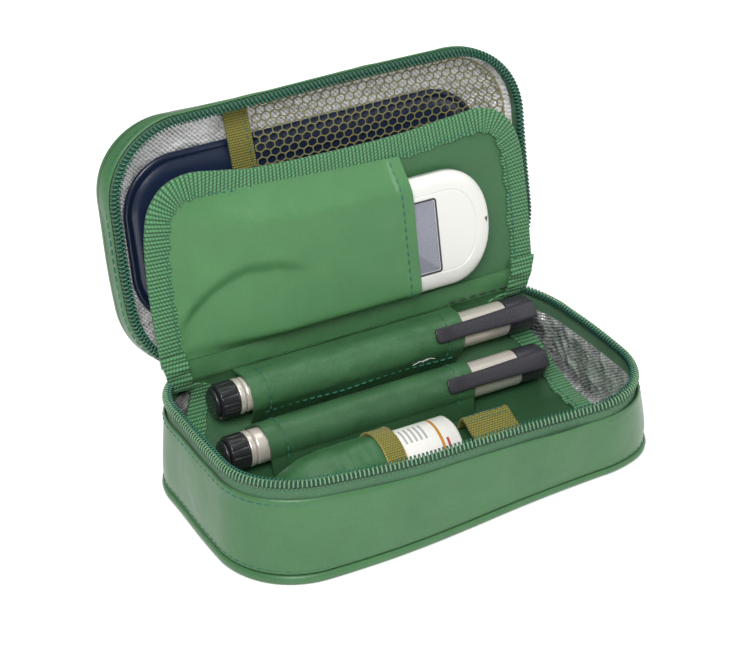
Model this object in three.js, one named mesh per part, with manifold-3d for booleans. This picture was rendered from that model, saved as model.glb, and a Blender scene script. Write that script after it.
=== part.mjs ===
// Insulin cooling case, open: a zipped, padded travel case with a folding organiser and its load.
// Millimetres. X runs along the case, -Y is the front, +Y the hinge side, +Z up. The origin is the
// middle of the underside. The lid is drawn closed and then turned open about its hinge line.
import * as THREE from 'three';
import Module from 'manifold-3d';
import { mergeVertices } from 'three/addons/utils/BufferGeometryUtils.js';

const wasm = await Module();
wasm.setup();

// The case is as long as the pens that it holds, and as deep as the two of them stacked
const PEN_RADIUS = 8.3;
const PEN_LENGTH = 165.2;
const PEN_END_ROOM = 40.8;
const PEN_FLOOR_GAP = 11.3;
const PEN_STEP = { back: 18, up: 16.6 };
const RIM_ABOVE_PEN = 5.6;

// Outline of the zipped rim, and how far the foot and the lid's back stand out from it
const RIM = { halfLength: (PEN_LENGTH + PEN_END_ROOM) / 2, halfDepth: 60, corner: 37 };
const FOOT_FLARE = { halfLength: 1.8, halfDepth: 0.8, corner: -3 };
const LID_FLARE = { halfLength: 1.2, halfDepth: -1.5, corner: -4 };
const FOOT = flared(FOOT_FLARE);
const LID_BACK = flared(LID_FLARE);
const CORNER_STEPS = 8;
const QUARTER_TURN = 90;

// Padded wall, outside to inside, and the gap left between layers that touch
const LEATHER = 1.0;
const FOAM = 2.0;
const LINING = 0.5;
const SEAT = 0.3;
const FOAM_INSET = LEATHER + SEAT;
const LINING_INSET = FOAM_INSET + FOAM + SEAT;
const INNER_INSET = LINING_INSET + LINING;

// Base
const BASE_HEIGHT = PEN_FLOOR_GAP + PEN_RADIUS + PEN_STEP.up + RIM_ABOVE_PEN;
const BASE_LIP = 4.5;
const EDGE_ROUND = 2.0;
const EDGE_SHOULDER_SHARE = 0.3;

// Zip: a tape inside each rim and a row of coil teeth along its edge
const TAPE_THICKNESS = 0.8;
const TAPE_DEPTH = 7.3;
const LID_TAPE_DEPTH = 5.2;
const TAPE_STAND = 2.0;
const TEETH_HEIGHT = 3.7;
const TEETH_DEPTH = 2.6;
const TEETH_LEAN = 2.0;
const TEETH_INSET = 0.4;
const TOOTH_NOTCH = 0.5;
const TOOTH_PITCH = 3.9;
const ZIP_MEET = 0.4;
const ZIP_END_ANGLE = 35;

// Lid
const LID_RIM = BASE_HEIGHT + 2 * (TAPE_STAND + SEAT + TEETH_HEIGHT) + ZIP_MEET;
const LID_WALL = 12;
const LID_LIP = 3.5;
const LID_CROWN = 4.5;
const LID_EDGE_DROP = 1.0;
const CROWN_RUN = 27;
const CROWN_INSET_SHARES = [1, 0.6, 0.3, 0.19];
const LID_AXIS_INSET = 6.1;
const LID_AXIS_RISE = 8.2;
const LID_AXIS_Y = RIM.halfDepth - LID_AXIS_INSET;
const LID_AXIS_Z = BASE_HEIGHT + LID_AXIS_RISE;
const LID_OPEN_ANGLE = 97.6;

// Leather strip that carries the lid
const HINGE_HALF_LENGTH = 64;
const HINGE_DROP = 13;
const HINGE_REACH = 7.5;
const HINGE_BEND = 1.2;
const HINGE_STEPS = 4;

// Net pocket in the lid and the cold pack behind it
const NET_HEIGHT = 4.6;
const NET_THICKNESS = 0.4;
const NET_LEFT = -30.2;
const NET_PITCH = 10;
const NET_SIDES = 6;
const NET_STRAND = 1.3;
const NET_MARGIN = 3;
const NET_STRIP_WIDTH = 11.5;
const NET_STRIP_THICKNESS = 1.1;
const GEL_END_ROOM = 13;
const GEL_SIDE_ROOM = 20;
const GEL_CORNER = 27;
const GEL_CENTRE_X = -5;
const GEL_THICKNESS = 6.4;
const GEL_CLEARANCE = 0.6;
const GEL_EDGE_RUN = 14;
const GEL_SWELL_SHARES = [[0, 0.25], [0.21, 0.56], [0.57, 0.84], [1, 1]];

// Organiser: fold line, lower leaf and webbing
const FOLD_INSET = 12.5;
const FOLD_RISE = 3.7;
const FOLD_Y = RIM.halfDepth - FOLD_INSET;
const FOLD_Z = BASE_HEIGHT + FOLD_RISE;
const LEAF_LEFT_ROOM = 9.2;
const LEAF_RIGHT_ROOM = 6.8;
const LEAF_LEFT = LEAF_LEFT_ROOM - RIM.halfLength;
const LEAF_RIGHT = RIM.halfLength - LEAF_RIGHT_ROOM;
const LEAF_THICKNESS = 1.2;
const LEAF_HEIGHT = 90;
const LEAF_FOOT = 8.5;
const LEAF_CORNER = 30;
const LEAF_REST_ANGLE = 98;
const WEBBING_WIDTH = 11;
const WEBBING_THICKNESS = 3.0;
const WEBBING_EDGE = 1.3;
const LOWER_THICKNESS = 1.0;
const LOWER_FRONT_ROOM = 10;
const LOWER_SIDE_GAP = 3.0;
const LOWER_BEND_STEPS = 7;
const LOWER_FLAT_STEPS = 4;
const LOWER_LEAVE_ANGLE = -75;
const LOWER_WEBBING_THICKNESS = 0.8;
const FOLD_STRIP_HALF_LENGTH = 72;

// Insulin pens and their sleeves
const PEN_BACK_ROOM = { end: 14.3, back: 22 };
const PEN_FRONT_END_ROOM = 18.8;
const PEN_BACK = {
  x: RIM.halfLength - PEN_BACK_ROOM.end - PEN_LENGTH,
  y: RIM.halfDepth - PEN_BACK_ROOM.back,
  z: PEN_RADIUS + PEN_FLOOR_GAP + PEN_STEP.up,
};
const PEN_FRONT = {
  x: RIM.halfLength - PEN_FRONT_END_ROOM - PEN_LENGTH,
  y: PEN_BACK.y - PEN_STEP.back,
  z: PEN_BACK.z - PEN_STEP.up,
};
const PEN_SIDES = 28;
const SLEEVE_START = 16.5;
const SLEEVE_LENGTH = 112;
const SLEEVE_LEFT = PEN_BACK.x + SLEEVE_START;
const SLEEVE_GAP = 0.25;
const SLEEVE_THICKNESS = 0.6;
const SLEEVE_STEPS = 12;
const SLEEVE_SEAT_Y = 8.8;
const BUTTON_DISC = 2;
const BUTTON_RADIUS = 7;
const BUTTON_STEM_RADIUS = 3;
const KNOB_LENGTH = 12;
const KNOB_RIBS = 16;
const KNOB_GROOVE = 0.5;
const KNOB_RIB_POINTS = 4;
const CAP_LENGTH = 69.2;
const BARREL_END = PEN_LENGTH - CAP_LENGTH;
const BARREL_RADIUS = 8.1;
const HOLDER_RADIUS = 6;
const HOLDER_LENGTH = 42;
const HOLDER_END = BARREL_END + HOLDER_LENGTH;
const CAP_WALL = 1.4;
const CAP_END_LENGTH = 14.5;
const CAP_ROUND = 1.5;
const CLIP_LENGTH = 52;
const CLIP_WIDTH = 7;
const CLIP_THICKNESS = 2;
const CLIP_ROOT = 10;
const CLIP_GAP = 0.5;
const CLIP_ANGLE = 32;

// Test strip bottle, its gathered pouch and the two elastics
const VIAL_Y = -27.6;
const VIAL_Z = 21.7;
const VIAL_LEFT = -50;
const VIAL_RIGHT = 9.5;
const VIAL_RADIUS = 13.4;
const VIAL_ROUND = 1.2;
const VIAL_CAP_LENGTH = 8;
const LABEL_THICKNESS = 0.2;
const LABEL_LEFT = -44;
const LABEL_RIGHT = 7.5;
const POUCH_LEFT = -74;
const POUCH_MOUTH = -20;
const POUCH_THICKNESS = 0.6;
const POUCH_PLEATS = 9;
const POUCH_PLEAT_DEPTH = 0.35;
const POUCH_SIDES = 36;
const POUCH_TIP_HALF_WIDTH = 12;
const POUCH_TIP_HALF_HEIGHT = 3;
const POUCH_TAPER = 14;
const POUCH_PLACE_SHARES = [0, 0.35, 0.7, 1, 1.9, 3];
const BAND_WIDTH = 9;
const BAND_THICKNESS = 0.8;
const LOOP_LEFT = 30;
const LOOP_RIGHT = 54;
const LOOP_BACK_Y = 0;
const LOOP_FRONT_Y = -40;
const LOOP_FLAP = 5.5;
const LOOP_RISE = 7.2;
const LOOP_ARCH_SHARE = 0.7;
const LOOP_THICKNESS = 1.2;
const LOOP_STEPS = 12;

// Blood sugar meter in its pocket, in the frame of the upper leaf
const METER_LEFT = -20;
const METER_RIGHT = 73;
const METER_MIDDLE = 40;
const METER_HALF_WIDTH = 27.5;
const METER_END_RUN = 23;
const METER_THICKNESS = 8.6;
const METER_SPLIT = 3.7;
const METER_STEPS = 12;
const METER_REAR_SHARES = [[0.3, 0], [0.09, 0.2], [0, 0.62]];
const METER_FRONT_SHARES = [[0, 0.25], [0.1, 0.6], [0.3, 0.87], [0.52, 1]];
const METER_EDGE = 13;
const SCREEN_LEFT = 6.5;
const SCREEN_RIGHT = 44.5;
const SCREEN_HALF_WIDTH = 16.6;
const SCREEN_DEPTH = 1.9;
const LCD_THICKNESS = 0.5;
const LENS_THICKNESS = 0.5;
const KEY_HOLE_DEPTH = 2.0;
const KEY_CLEARANCE = 0.3;
const KEY_TRAVEL = 0.6;
const MAIN_KEY = { x: -5, u: 40, radius: 5.5 };
const SMALL_KEY = { x: -5, u: 26, radius: 3.2 };
const PORT_LENGTH = 5;
const PORT_WIDTH = 13;
const PORT_HEIGHT = 1.8;
const PORT_SLIT = 0.7;
const PORT_SLIT_WIDTH = 9;
const POCKET_LEFT = -81.5;
const POCKET_MOUTH = 32;
const POCKET_FOOT = 9.8;
const POCKET_THICKNESS = 0.6;
const POCKET_SLOPE_RUN = 44;
const POCKET_TOP_RUN = 8;
const POCKET_FOOT_RUN = 2;
const POCKET_LIFT = 0.5;
const POCKET_STEPS = 8;
const POCKET_ROW_SHARES = [0, 0.33, 0.66, 1];

// Zip sliders and their pulls, parked at the ends of the lower row of teeth
const SLIDER_LENGTH = 8;
const SLIDER_WIDTH = 6;
const SLIDER_HEIGHT = 5.4;
const SLIDER_NOSE_SHARE = 0.6;
const PULL_LENGTH = 20;
const PULL_WIDTH = 6.5;
const PULL_THICKNESS = 1.4;
const PULL_EYE = 2.2;

const OVERRUN = 5;

const COLOURS = {
  leather: 0x5c9066,
  leatherInside: 0x4f8558,
  webbing: 0x4b9a63,
  foam: 0xe8e8e4,
  lining: 0xc9c9cc,
  zip: 0x1f5a4a,
  tape: 0x55805c,
  olive: 0x8a8a35,
  net: 0xa8a36a,
  navy: 0x1c2a4a,
  white: 0xeeebe6,
  grey: 0xa5a4b2,
  black: 0x2b2b30,
  silver: 0xb9b1aa,
  label: 0xf2f2ef,
};

const root = new THREE.Group();
const pieces = {};

function flared(flare) {
  return {
    halfLength: RIM.halfLength + flare.halfLength,
    halfDepth: RIM.halfDepth + flare.halfDepth,
    corner: RIM.corner + flare.corner,
  };
}

function radians(degrees) {
  return THREE.MathUtils.degToRad(degrees);
}

function mix(from, to, share) {
  return from + (to - from) * share;
}

function finish(colour, roughness, metalness = 0) {
  return new THREE.MeshStandardMaterial({ color: colour, roughness, metalness });
}

function add(parent, name, geometry, material) {
  const mesh = new THREE.Mesh(geometry, material);
  mesh.name = name;
  parent.add(mesh);
  pieces[name] = mesh;
  return mesh;
}

// Volume of a closed triangle mesh: positive when its faces point out
function signedVolume(points, faces) {
  let volume = 0;
  const [a, b, c] = [new THREE.Vector3(), new THREE.Vector3(), new THREE.Vector3()];
  for (const [i, j, k] of faces) {
    a.fromArray(points[i]);
    b.fromArray(points[j]);
    c.fromArray(points[k]);
    volume += a.dot(b.cross(c));
  }
  return volume;
}

function meshFrom(points, faces) {
  const outward = signedVolume(points, faces) > 0;
  const geometry = new THREE.BufferGeometry();
  geometry.setAttribute('position', new THREE.Float32BufferAttribute(points.flat(), 3));
  geometry.setIndex(faces.flatMap(([i, j, k]) => (outward ? [i, j, k] : [i, k, j])));
  return geometry;
}

// Joins loops of equally many points, one after another. The first and last loops are capped,
// or joined to each other when the skin closes on itself.
function loft(loops, closesOnItself = false) {
  const sides = loops[0].length;
  const points = loops.flat();
  const faces = [];
  const last = closesOnItself ? loops.length : loops.length - 1;
  for (let row = 0; row < last; row += 1) {
    const next = (row + 1) % loops.length;
    for (let side = 0; side < sides; side += 1) {
      const after = (side + 1) % sides;
      const [a, b] = [row * sides + side, row * sides + after];
      const [c, d] = [next * sides + after, next * sides + side];
      faces.push([a, b, c], [a, c, d]);
    }
  }
  if (!closesOnItself) {
    const end = (loops.length - 1) * sides;
    for (let side = 1; side < sides - 1; side += 1) {
      faces.push([0, side + 1, side], [end, end + side, end + side + 1]);
    }
  }
  return meshFrom(points, faces);
}

function toSolid(geometry) {
  const bare = geometry.clone();
  bare.deleteAttribute('normal');
  bare.deleteAttribute('uv');
  const merged = mergeVertices(bare);
  return new wasm.Manifold(new wasm.Mesh({
    numProp: 3,
    vertProperties: new Float32Array(merged.attributes.position.array),
    triVerts: new Uint32Array(merged.index.array),
  }));
}

function toGeometry(solid) {
  const mesh = solid.getMesh();
  const geometry = new THREE.BufferGeometry();
  geometry.setAttribute('position', new THREE.BufferAttribute(mesh.vertProperties, 3));
  geometry.setIndex(new THREE.BufferAttribute(mesh.triVerts, 1));
  return geometry;
}

function cut(geometry, ...tools) {
  return toGeometry(tools.reduce((solid, tool) => solid.subtract(toSolid(tool)), toSolid(geometry)));
}

function join(geometry, ...others) {
  return toGeometry(others.reduce((solid, other) => solid.add(toSolid(other)), toSolid(geometry)));
}

function boxBetween(low, high) {
  const size = high.map((value, axis) => value - low[axis]);
  const middle = high.map((value, axis) => (value + low[axis]) / 2);
  return new THREE.BoxGeometry(...size).translate(...middle);
}

function plate(shape, thickness, from = 0, curveSegments = CORNER_STEPS) {
  const geometry = new THREE.ExtrudeGeometry(shape, { depth: thickness, bevelEnabled: false, curveSegments });
  return geometry.translate(0, 0, from);
}

// Turns a shape drawn in (y, z) and extruded along its normal so that it runs along X
function alongX(geometry, from) {
  const turn = new THREE.Matrix4().makeBasis(
    new THREE.Vector3(0, 1, 0),
    new THREE.Vector3(0, 0, 1),
    new THREE.Vector3(1, 0, 0),
  );
  return geometry.applyMatrix4(turn).translate(from, 0, 0);
}

// A lathe profile of (x, radius) pairs, turned about the X axis
function turnedAboutX(profile, sides = PEN_SIDES) {
  const points = profile.map(([x, radius]) => new THREE.Vector2(radius, x));
  return new THREE.LatheGeometry(points, sides).rotateZ(radians(-QUARTER_TURN));
}

function tubeAlongX(left, right, inner, outer) {
  return turnedAboutX([[left, inner], [left, outer], [right, outer], [right, inner], [left, inner]]);
}

// A band of even thickness along a line of (y, z) points, as a shape
function ribbon(line, thickness) {
  const half = thickness / 2;
  const sides = [[], []];
  line.forEach((point, index) => {
    const before = line[Math.max(index - 1, 0)];
    const after = line[Math.min(index + 1, line.length - 1)];
    const along = new THREE.Vector2(after[0] - before[0], after[1] - before[1]).normalize();
    sides[0].push(new THREE.Vector2(point[0] - along.y * half, point[1] + along.x * half));
    sides[1].unshift(new THREE.Vector2(point[0] + along.y * half, point[1] - along.x * half));
  });
  return new THREE.Shape([...sides[0], ...sides[1]]);
}

function arcLine(centre, radius, fromDegrees, toDegrees, steps) {
  return Array.from({ length: steps + 1 }, (_, step) => {
    const angle = radians(mix(fromDegrees, toDegrees, step / steps));
    return [centre.y + radius * Math.cos(angle), centre.z + radius * Math.sin(angle)];
  });
}

// Where a straight leg from a point meets a circle, as an angle in degrees
function tangentAngle(point, centre, radius, side) {
  const away = Math.hypot(point[0] - centre.y, point[1] - centre.z);
  const bearing = Math.atan2(point[1] - centre.z, point[0] - centre.y);
  return THREE.MathUtils.radToDeg(bearing + side * Math.acos(radius / away));
}

// Outlines. A station says which end of each straight run it is at and which way it faces.
const CORNERS = [[1, 1], [-1, 1], [-1, -1], [1, -1]];

function ringStations(steps = CORNER_STEPS) {
  return CORNERS.flatMap(([alongLength, alongDepth], corner) => (
    Array.from({ length: steps + 1 }, (_, step) => (
      { alongLength, alongDepth, angle: QUARTER_TURN * (corner + step / steps) }))));
}

function outlinePoint(outline, station, inset, z) {
  const radius = outline.corner - inset;
  const angle = radians(station.angle);
  return [
    station.alongLength * (outline.halfLength - outline.corner) + radius * Math.cos(angle),
    station.alongDepth * (outline.halfDepth - outline.corner) + radius * Math.sin(angle),
    z,
  ];
}

function between(low, high, share) {
  return {
    halfLength: mix(low.halfLength, high.halfLength, share),
    halfDepth: mix(low.halfDepth, high.halfDepth, share),
    corner: mix(low.corner, high.corner, share),
  };
}

function baseOutline(z) {
  return between(FOOT, RIM, THREE.MathUtils.clamp(z / BASE_HEIGHT, 0, 1));
}

function lidOutline(z) {
  return between(RIM, LID_BACK, THREE.MathUtils.clamp((z - LID_RIM) / LID_WALL, 0, 1));
}

// Rings of a wall profile, given as (inset, height) pairs
function rings(outlineAt, profile, stations = ringStations()) {
  return profile.map(([inset, z]) => (
    stations.map((station) => outlinePoint(outlineAt(z), station, inset, z))));
}

// Half of the room inside the rim at a given depth
function roomHalfLength(y) {
  const inset = TEETH_INSET + TEETH_DEPTH + TEETH_LEAN;
  const radius = RIM.corner - inset;
  const reach = Math.max(Math.abs(y) - (RIM.halfDepth - RIM.corner), 0);
  return RIM.halfLength - RIM.corner + Math.sqrt(Math.max(radius * radius - reach * reach, 0));
}

// Base: bottom panel, side wall, foam and lining
function buildBase() {
  const lip = BASE_LIP;
  add(root, 'base_bottom_panel', loft(rings(baseOutline, [
    [EDGE_ROUND, 0],
    [EDGE_ROUND * EDGE_SHOULDER_SHARE, EDGE_ROUND * EDGE_SHOULDER_SHARE],
    [0, EDGE_ROUND],
    [0, lip],
    [LEATHER, lip],
    [LEATHER, LEATHER + EDGE_ROUND * EDGE_SHOULDER_SHARE],
    [EDGE_ROUND, LEATHER],
  ])), finish(COLOURS.leather, 0.5));

  add(root, 'base_side_wall', loft(rings(baseOutline, [
    [0, lip + SEAT],
    [0, BASE_HEIGHT],
    [LEATHER, BASE_HEIGHT],
    [LEATHER, lip + SEAT],
  ]), true), finish(COLOURS.leather, 0.5));

  const top = BASE_HEIGHT - TAPE_DEPTH - SEAT;
  const tray = (inset, floor, thickness) => loft(rings(baseOutline, [
    [inset + EDGE_ROUND, floor],
    [inset, floor + EDGE_ROUND],
    [inset, top],
    [inset + thickness, top],
    [inset + thickness, floor + thickness + EDGE_ROUND],
    [inset + thickness + EDGE_ROUND, floor + thickness],
  ]));
  add(root, 'base_foam', tray(FOAM_INSET, FOAM_INSET, FOAM), finish(COLOURS.foam, 0.9));
  add(root, 'base_lining', tray(LINING_INSET, LINING_INSET, LINING), finish(COLOURS.lining, 0.3, 0.8));
}

// The zip runs from one back corner round the front to the other
function zipStations(spacing) {
  const runs = [
    { corner: [1, 1], from: QUARTER_TURN - ZIP_END_ANGLE, to: 0 },
    { start: new THREE.Vector2(1, 1), end: new THREE.Vector2(1, -1), angle: 0 },
    { corner: [1, -1], from: 0, to: -QUARTER_TURN },
    { start: new THREE.Vector2(1, -1), end: new THREE.Vector2(-1, -1), angle: -QUARTER_TURN },
    { corner: [-1, -1], from: -QUARTER_TURN, to: -2 * QUARTER_TURN },
    { start: new THREE.Vector2(-1, -1), end: new THREE.Vector2(-1, 1), angle: -2 * QUARTER_TURN },
    { corner: [-1, 1], from: -2 * QUARTER_TURN, to: ZIP_END_ANGLE - 3 * QUARTER_TURN },
  ];
  const straight = new THREE.Vector2(RIM.halfLength - RIM.corner, RIM.halfDepth - RIM.corner);
  const stations = [];
  for (const run of runs) {
    const length = run.corner
      ? RIM.corner * radians(run.from - run.to)
      : run.end.clone().sub(run.start).multiply(straight).length();
    const steps = Math.max(Math.round(length / spacing), 1);
    for (let step = stations.length ? 1 : 0; step <= steps; step += 1) {
      const share = step / steps;
      stations.push(run.corner
        ? { alongLength: run.corner[0], alongDepth: run.corner[1], angle: mix(run.from, run.to, share) }
        : {
          alongLength: mix(run.start.x, run.end.x, share),
          alongDepth: mix(run.start.y, run.end.y, share),
          angle: run.angle,
        });
    }
  }
  return stations;
}

// One half of the zip. Away is +1 for the base, whose teeth stand up, and -1 for the lid.
function buildZip(parent, prefix, outlineAt, rim, depth, away) {
  const place = (station) => ([inset, height]) => {
    const z = rim + away * height;
    return outlinePoint(outlineAt(z), station, inset, z);
  };
  const tapeProfile = [
    [FOAM_INSET, -depth],
    [FOAM_INSET + TAPE_THICKNESS, -depth],
    [FOAM_INSET + TAPE_THICKNESS, TAPE_STAND],
    [FOAM_INSET, TAPE_STAND],
  ];
  const tape = zipStations(TAPE_DEPTH).map((station) => tapeProfile.map(place(station)));
  add(parent, `${prefix}_zip_tape`, loft(tape), finish(COLOURS.tape, 0.8));

  const foot = TAPE_STAND + SEAT;
  const teeth = zipStations(TOOTH_PITCH / 2).map((station, index) => {
    const notch = index % 2 ? TOOTH_NOTCH : 0;
    const share = (TEETH_HEIGHT - notch) / TEETH_HEIGHT;
    const lean = TEETH_LEAN * share;
    return [
      [TEETH_INSET + notch, foot],
      [TEETH_INSET + TEETH_DEPTH - notch, foot],
      [TEETH_INSET + TEETH_DEPTH - notch + lean, foot + TEETH_HEIGHT * share],
      [TEETH_INSET + notch + lean, foot + TEETH_HEIGHT * share],
    ].map(place(station));
  });
  add(parent, `${prefix}_zip_teeth`, loft(teeth), finish(COLOURS.zip, 0.4));
}

function crownHeight(inset) {
  return LID_CROWN * Math.sin(Math.min(inset / CROWN_RUN, 1) * Math.PI / 2);
}

// A domed shell of the lid: outside from the crown to the mouth, then back up the inside
function lidShell(inset, thickness, mouth) {
  const crown = CROWN_INSET_SHARES.map((share) => share * CROWN_RUN);
  const outside = crown.map((run) => [run, LID_WALL + crownHeight(run) - inset]);
  const inside = outside.map(([run, height]) => [run, height - thickness]);
  const edge = LID_WALL - inset - LID_EDGE_DROP;
  return loft(rings(lidOutline, [
    ...outside,
    [inset, edge],
    [inset, mouth],
    [inset + thickness, mouth],
    [inset + thickness, edge - thickness],
    ...inside.reverse(),
  ].map(([ringInset, height]) => [ringInset, LID_RIM + height])));
}

function buildLid(lid) {
  const lipMouth = LID_WALL - LID_LIP;
  add(lid, 'lid_back_panel', lidShell(0, LEATHER, lipMouth), finish(COLOURS.leather, 0.5));
  add(lid, 'lid_side_wall', loft(rings(lidOutline, [
    [0, LID_RIM],
    [0, LID_RIM + lipMouth - SEAT],
    [LEATHER, LID_RIM + lipMouth - SEAT],
    [LEATHER, LID_RIM],
  ]), true), finish(COLOURS.leather, 0.5));
  const mouth = LID_TAPE_DEPTH + SEAT;
  add(lid, 'lid_foam', lidShell(FOAM_INSET, FOAM, mouth), finish(COLOURS.foam, 0.9));
  add(lid, 'lid_lining', lidShell(LINING_INSET, LINING, mouth), finish(COLOURS.lining, 0.3, 0.8));
}

// Net pocket: a sheet of six-sided meshes, with a webbing strip along its open edge
function hexagonHole(x, y, radius) {
  const hole = new THREE.Path();
  const corners = Array.from({ length: NET_SIDES }, (_, side) => {
    const angle = 2 * Math.PI * (side + 1 / 2) / NET_SIDES;
    return new THREE.Vector2(x + radius * Math.cos(angle), y + radius * Math.sin(angle));
  });
  return hole.setFromPoints(corners);
}

function netRoom(y) {
  const inset = INNER_INSET + SEAT;
  const radius = RIM.corner - inset;
  const reach = Math.max(Math.abs(y) - (RIM.halfDepth - RIM.corner), 0);
  return RIM.halfLength - RIM.corner + Math.sqrt(Math.max(radius * radius - reach * reach, 0));
}

function buildNet(lid) {
  const halfDepth = RIM.halfDepth - INNER_INSET - SEAT;
  const outline = lidOutline(LID_RIM + NET_HEIGHT);
  const edge = ringStations().filter((station) => station.alongLength > 0);
  const half = edge.map((station) => outlinePoint(outline, station, INNER_INSET + SEAT, 0));
  const rising = half.filter((point) => point[1] > 0);
  const falling = half.filter((point) => point[1] < 0);
  const corners = [...falling, ...rising].map(([x, y]) => new THREE.Vector2(x, y));
  const shape = new THREE.Shape([
    new THREE.Vector2(NET_LEFT, corners[0].y),
    ...corners,
    new THREE.Vector2(NET_LEFT, corners[corners.length - 1].y),
  ]);
  const radius = (NET_PITCH - NET_STRAND) / Math.sqrt(3);
  const rowPitch = NET_PITCH * Math.sqrt(3) / 2;
  const rows = Math.floor((halfDepth - radius - NET_MARGIN) / rowPitch);
  for (let row = -rows; row <= rows; row += 1) {
    const y = row * rowPitch;
    const shift = Math.abs(row) % 2 ? NET_PITCH / 2 : 0;
    const right = netRoom(Math.abs(y) + radius) - NET_MARGIN - NET_PITCH / 2;
    for (let x = NET_LEFT + NET_MARGIN + NET_PITCH / 2 + shift; x < right; x += NET_PITCH) {
      shape.holes.push(hexagonHole(x, y, radius));
    }
  }
  const net = plate(shape, NET_THICKNESS, LID_RIM + NET_HEIGHT);
  add(lid, 'net_pocket', net, finish(COLOURS.net, 0.7));

  const middle = LID_RIM + NET_HEIGHT + NET_THICKNESS / 2;
  const right = NET_LEFT - SEAT;
  add(lid, 'net_pocket_strip', boxBetween(
    [right - NET_STRIP_WIDTH, -halfDepth, middle - NET_STRIP_THICKNESS / 2],
    [right, halfDepth, middle + NET_STRIP_THICKNESS / 2],
  ), finish(COLOURS.olive, 0.8));
}

function buildGelPack(lid) {
  const middle = LID_RIM + NET_HEIGHT + NET_THICKNESS + GEL_CLEARANCE + GEL_THICKNESS / 2;
  const upper = GEL_SWELL_SHARES.map(([run, swell]) => [run * GEL_EDGE_RUN, swell * GEL_THICKNESS / 2]);
  const lower = upper.map(([run, height]) => [run, -height]).reverse();
  const profile = [...lower, ...upper].map(([run, height]) => [run, middle + height]);
  const outline = {
    halfLength: RIM.halfLength - GEL_END_ROOM,
    halfDepth: RIM.halfDepth - GEL_SIDE_ROOM,
    corner: GEL_CORNER,
  };
  const pack = loft(rings(() => outline, profile)).translate(GEL_CENTRE_X, 0, 0);
  add(lid, 'gel_pack', pack, finish(COLOURS.navy, 0.4));
}

// Lower leaf: from the fold, round the back pen, under the front pen and forward along the floor
const FLOOR = INNER_INSET + SEAT;
const PEN_SLOPE = THREE.MathUtils.radToDeg(Math.atan2(PEN_BACK.z - PEN_FRONT.z, PEN_BACK.y - PEN_FRONT.y));
const LOWER_RADIUS = PEN_RADIUS + SEAT + LOWER_WEBBING_THICKNESS + SEAT + LOWER_THICKNESS / 2;

function lowerLeafLine() {
  const turn = PEN_SLOPE - QUARTER_TURN;
  const foldReach = Math.hypot(FOLD_Y - PEN_BACK.y, FOLD_Z - PEN_BACK.z);
  const foldAngle = THREE.MathUtils.radToDeg(Math.atan2(FOLD_Z - PEN_BACK.z, FOLD_Y - PEN_BACK.y));
  const wrap = Array.from({ length: LOWER_BEND_STEPS + 1 }, (_, step) => {
    const share = 1 - step / LOWER_BEND_STEPS;
    const radius = mix(LOWER_RADIUS, foldReach, share * share);
    return arcLine(PEN_BACK, radius, mix(turn, foldAngle, share), 0, 1)[0];
  });
  const under = arcLine(PEN_FRONT, LOWER_RADIUS, turn, LOWER_LEAVE_ANGLE, 2);
  const [leaveY, leaveZ] = under[under.length - 1];
  const floor = FLOOR + LOWER_THICKNESS / 2;
  const run = (leaveZ - floor) * Math.tan(radians(-LOWER_LEAVE_ANGLE));
  const front = LOWER_FRONT_ROOM - RIM.halfDepth;
  const flat = Array.from({ length: LOWER_FLAT_STEPS + 1 }, (_, step) => (
    [mix(leaveY - run, front, step / LOWER_FLAT_STEPS), floor]));
  return [...wrap, ...under, ...flat];
}

// A sheet that follows the lower leaf's line between two side edges
function sheetAlong(line, thickness, lift, leftAt, rightAt) {
  return loft(line.map((point, index) => {
    const before = line[Math.max(index - 1, 0)];
    const after = line[Math.min(index + 1, line.length - 1)];
    const along = new THREE.Vector2(after[0] - before[0], after[1] - before[1]).normalize();
    const face = (offset) => [point[0] + along.y * offset, point[1] - along.x * offset];
    const [low, high] = [face(lift - thickness / 2), face(lift + thickness / 2)];
    const [left, right] = [leftAt(point[0]), rightAt(point[0])];
    return [[left, ...low], [right, ...low], [right, ...high], [left, ...high]];
  }));
}

function lowerEdge(y, inset = 0) {
  return roomHalfLength(y) - LOWER_SIDE_GAP - inset;
}

function buildLowerLeaf() {
  const line = lowerLeafLine();
  const right = (y) => lowerEdge(y);
  const left = (y) => -right(y);
  const leaf = sheetAlong(line, LOWER_THICKNESS, 0, left, right);
  add(root, 'organiser_lower_leaf', leaf, finish(COLOURS.leatherInside, 0.5));
  const lift = LOWER_THICKNESS / 2 + SEAT + LOWER_WEBBING_THICKNESS / 2;
  const innerRight = (y) => lowerEdge(y, WEBBING_WIDTH);
  const innerLeft = (y) => -innerRight(y);
  const band = (from, to) => sheetAlong(line.slice(1), LOWER_WEBBING_THICKNESS, lift, from, to);
  add(root, 'lower_webbing_left', band(left, innerLeft), finish(COLOURS.webbing, 0.8));
  add(root, 'lower_webbing_right', band(innerRight, right), finish(COLOURS.webbing, 0.8));
}

// Pen sleeves: a sheet over each pen, sewn down in the valley between them
function sleeve(centre, from, to) {
  const radius = PEN_RADIUS + SLEEVE_GAP + SLEEVE_THICKNESS / 2;
  const start = tangentAngle(from, centre, radius, 1);
  const turned = tangentAngle(to, centre, radius, -1);
  const end = turned < start ? turned + 4 * QUARTER_TURN : turned;
  const line = [from, ...arcLine(centre, radius, start, end, SLEEVE_STEPS), to];
  return alongX(plate(ribbon(line, SLEEVE_THICKNESS), SLEEVE_LENGTH), SLEEVE_LEFT);
}

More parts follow.
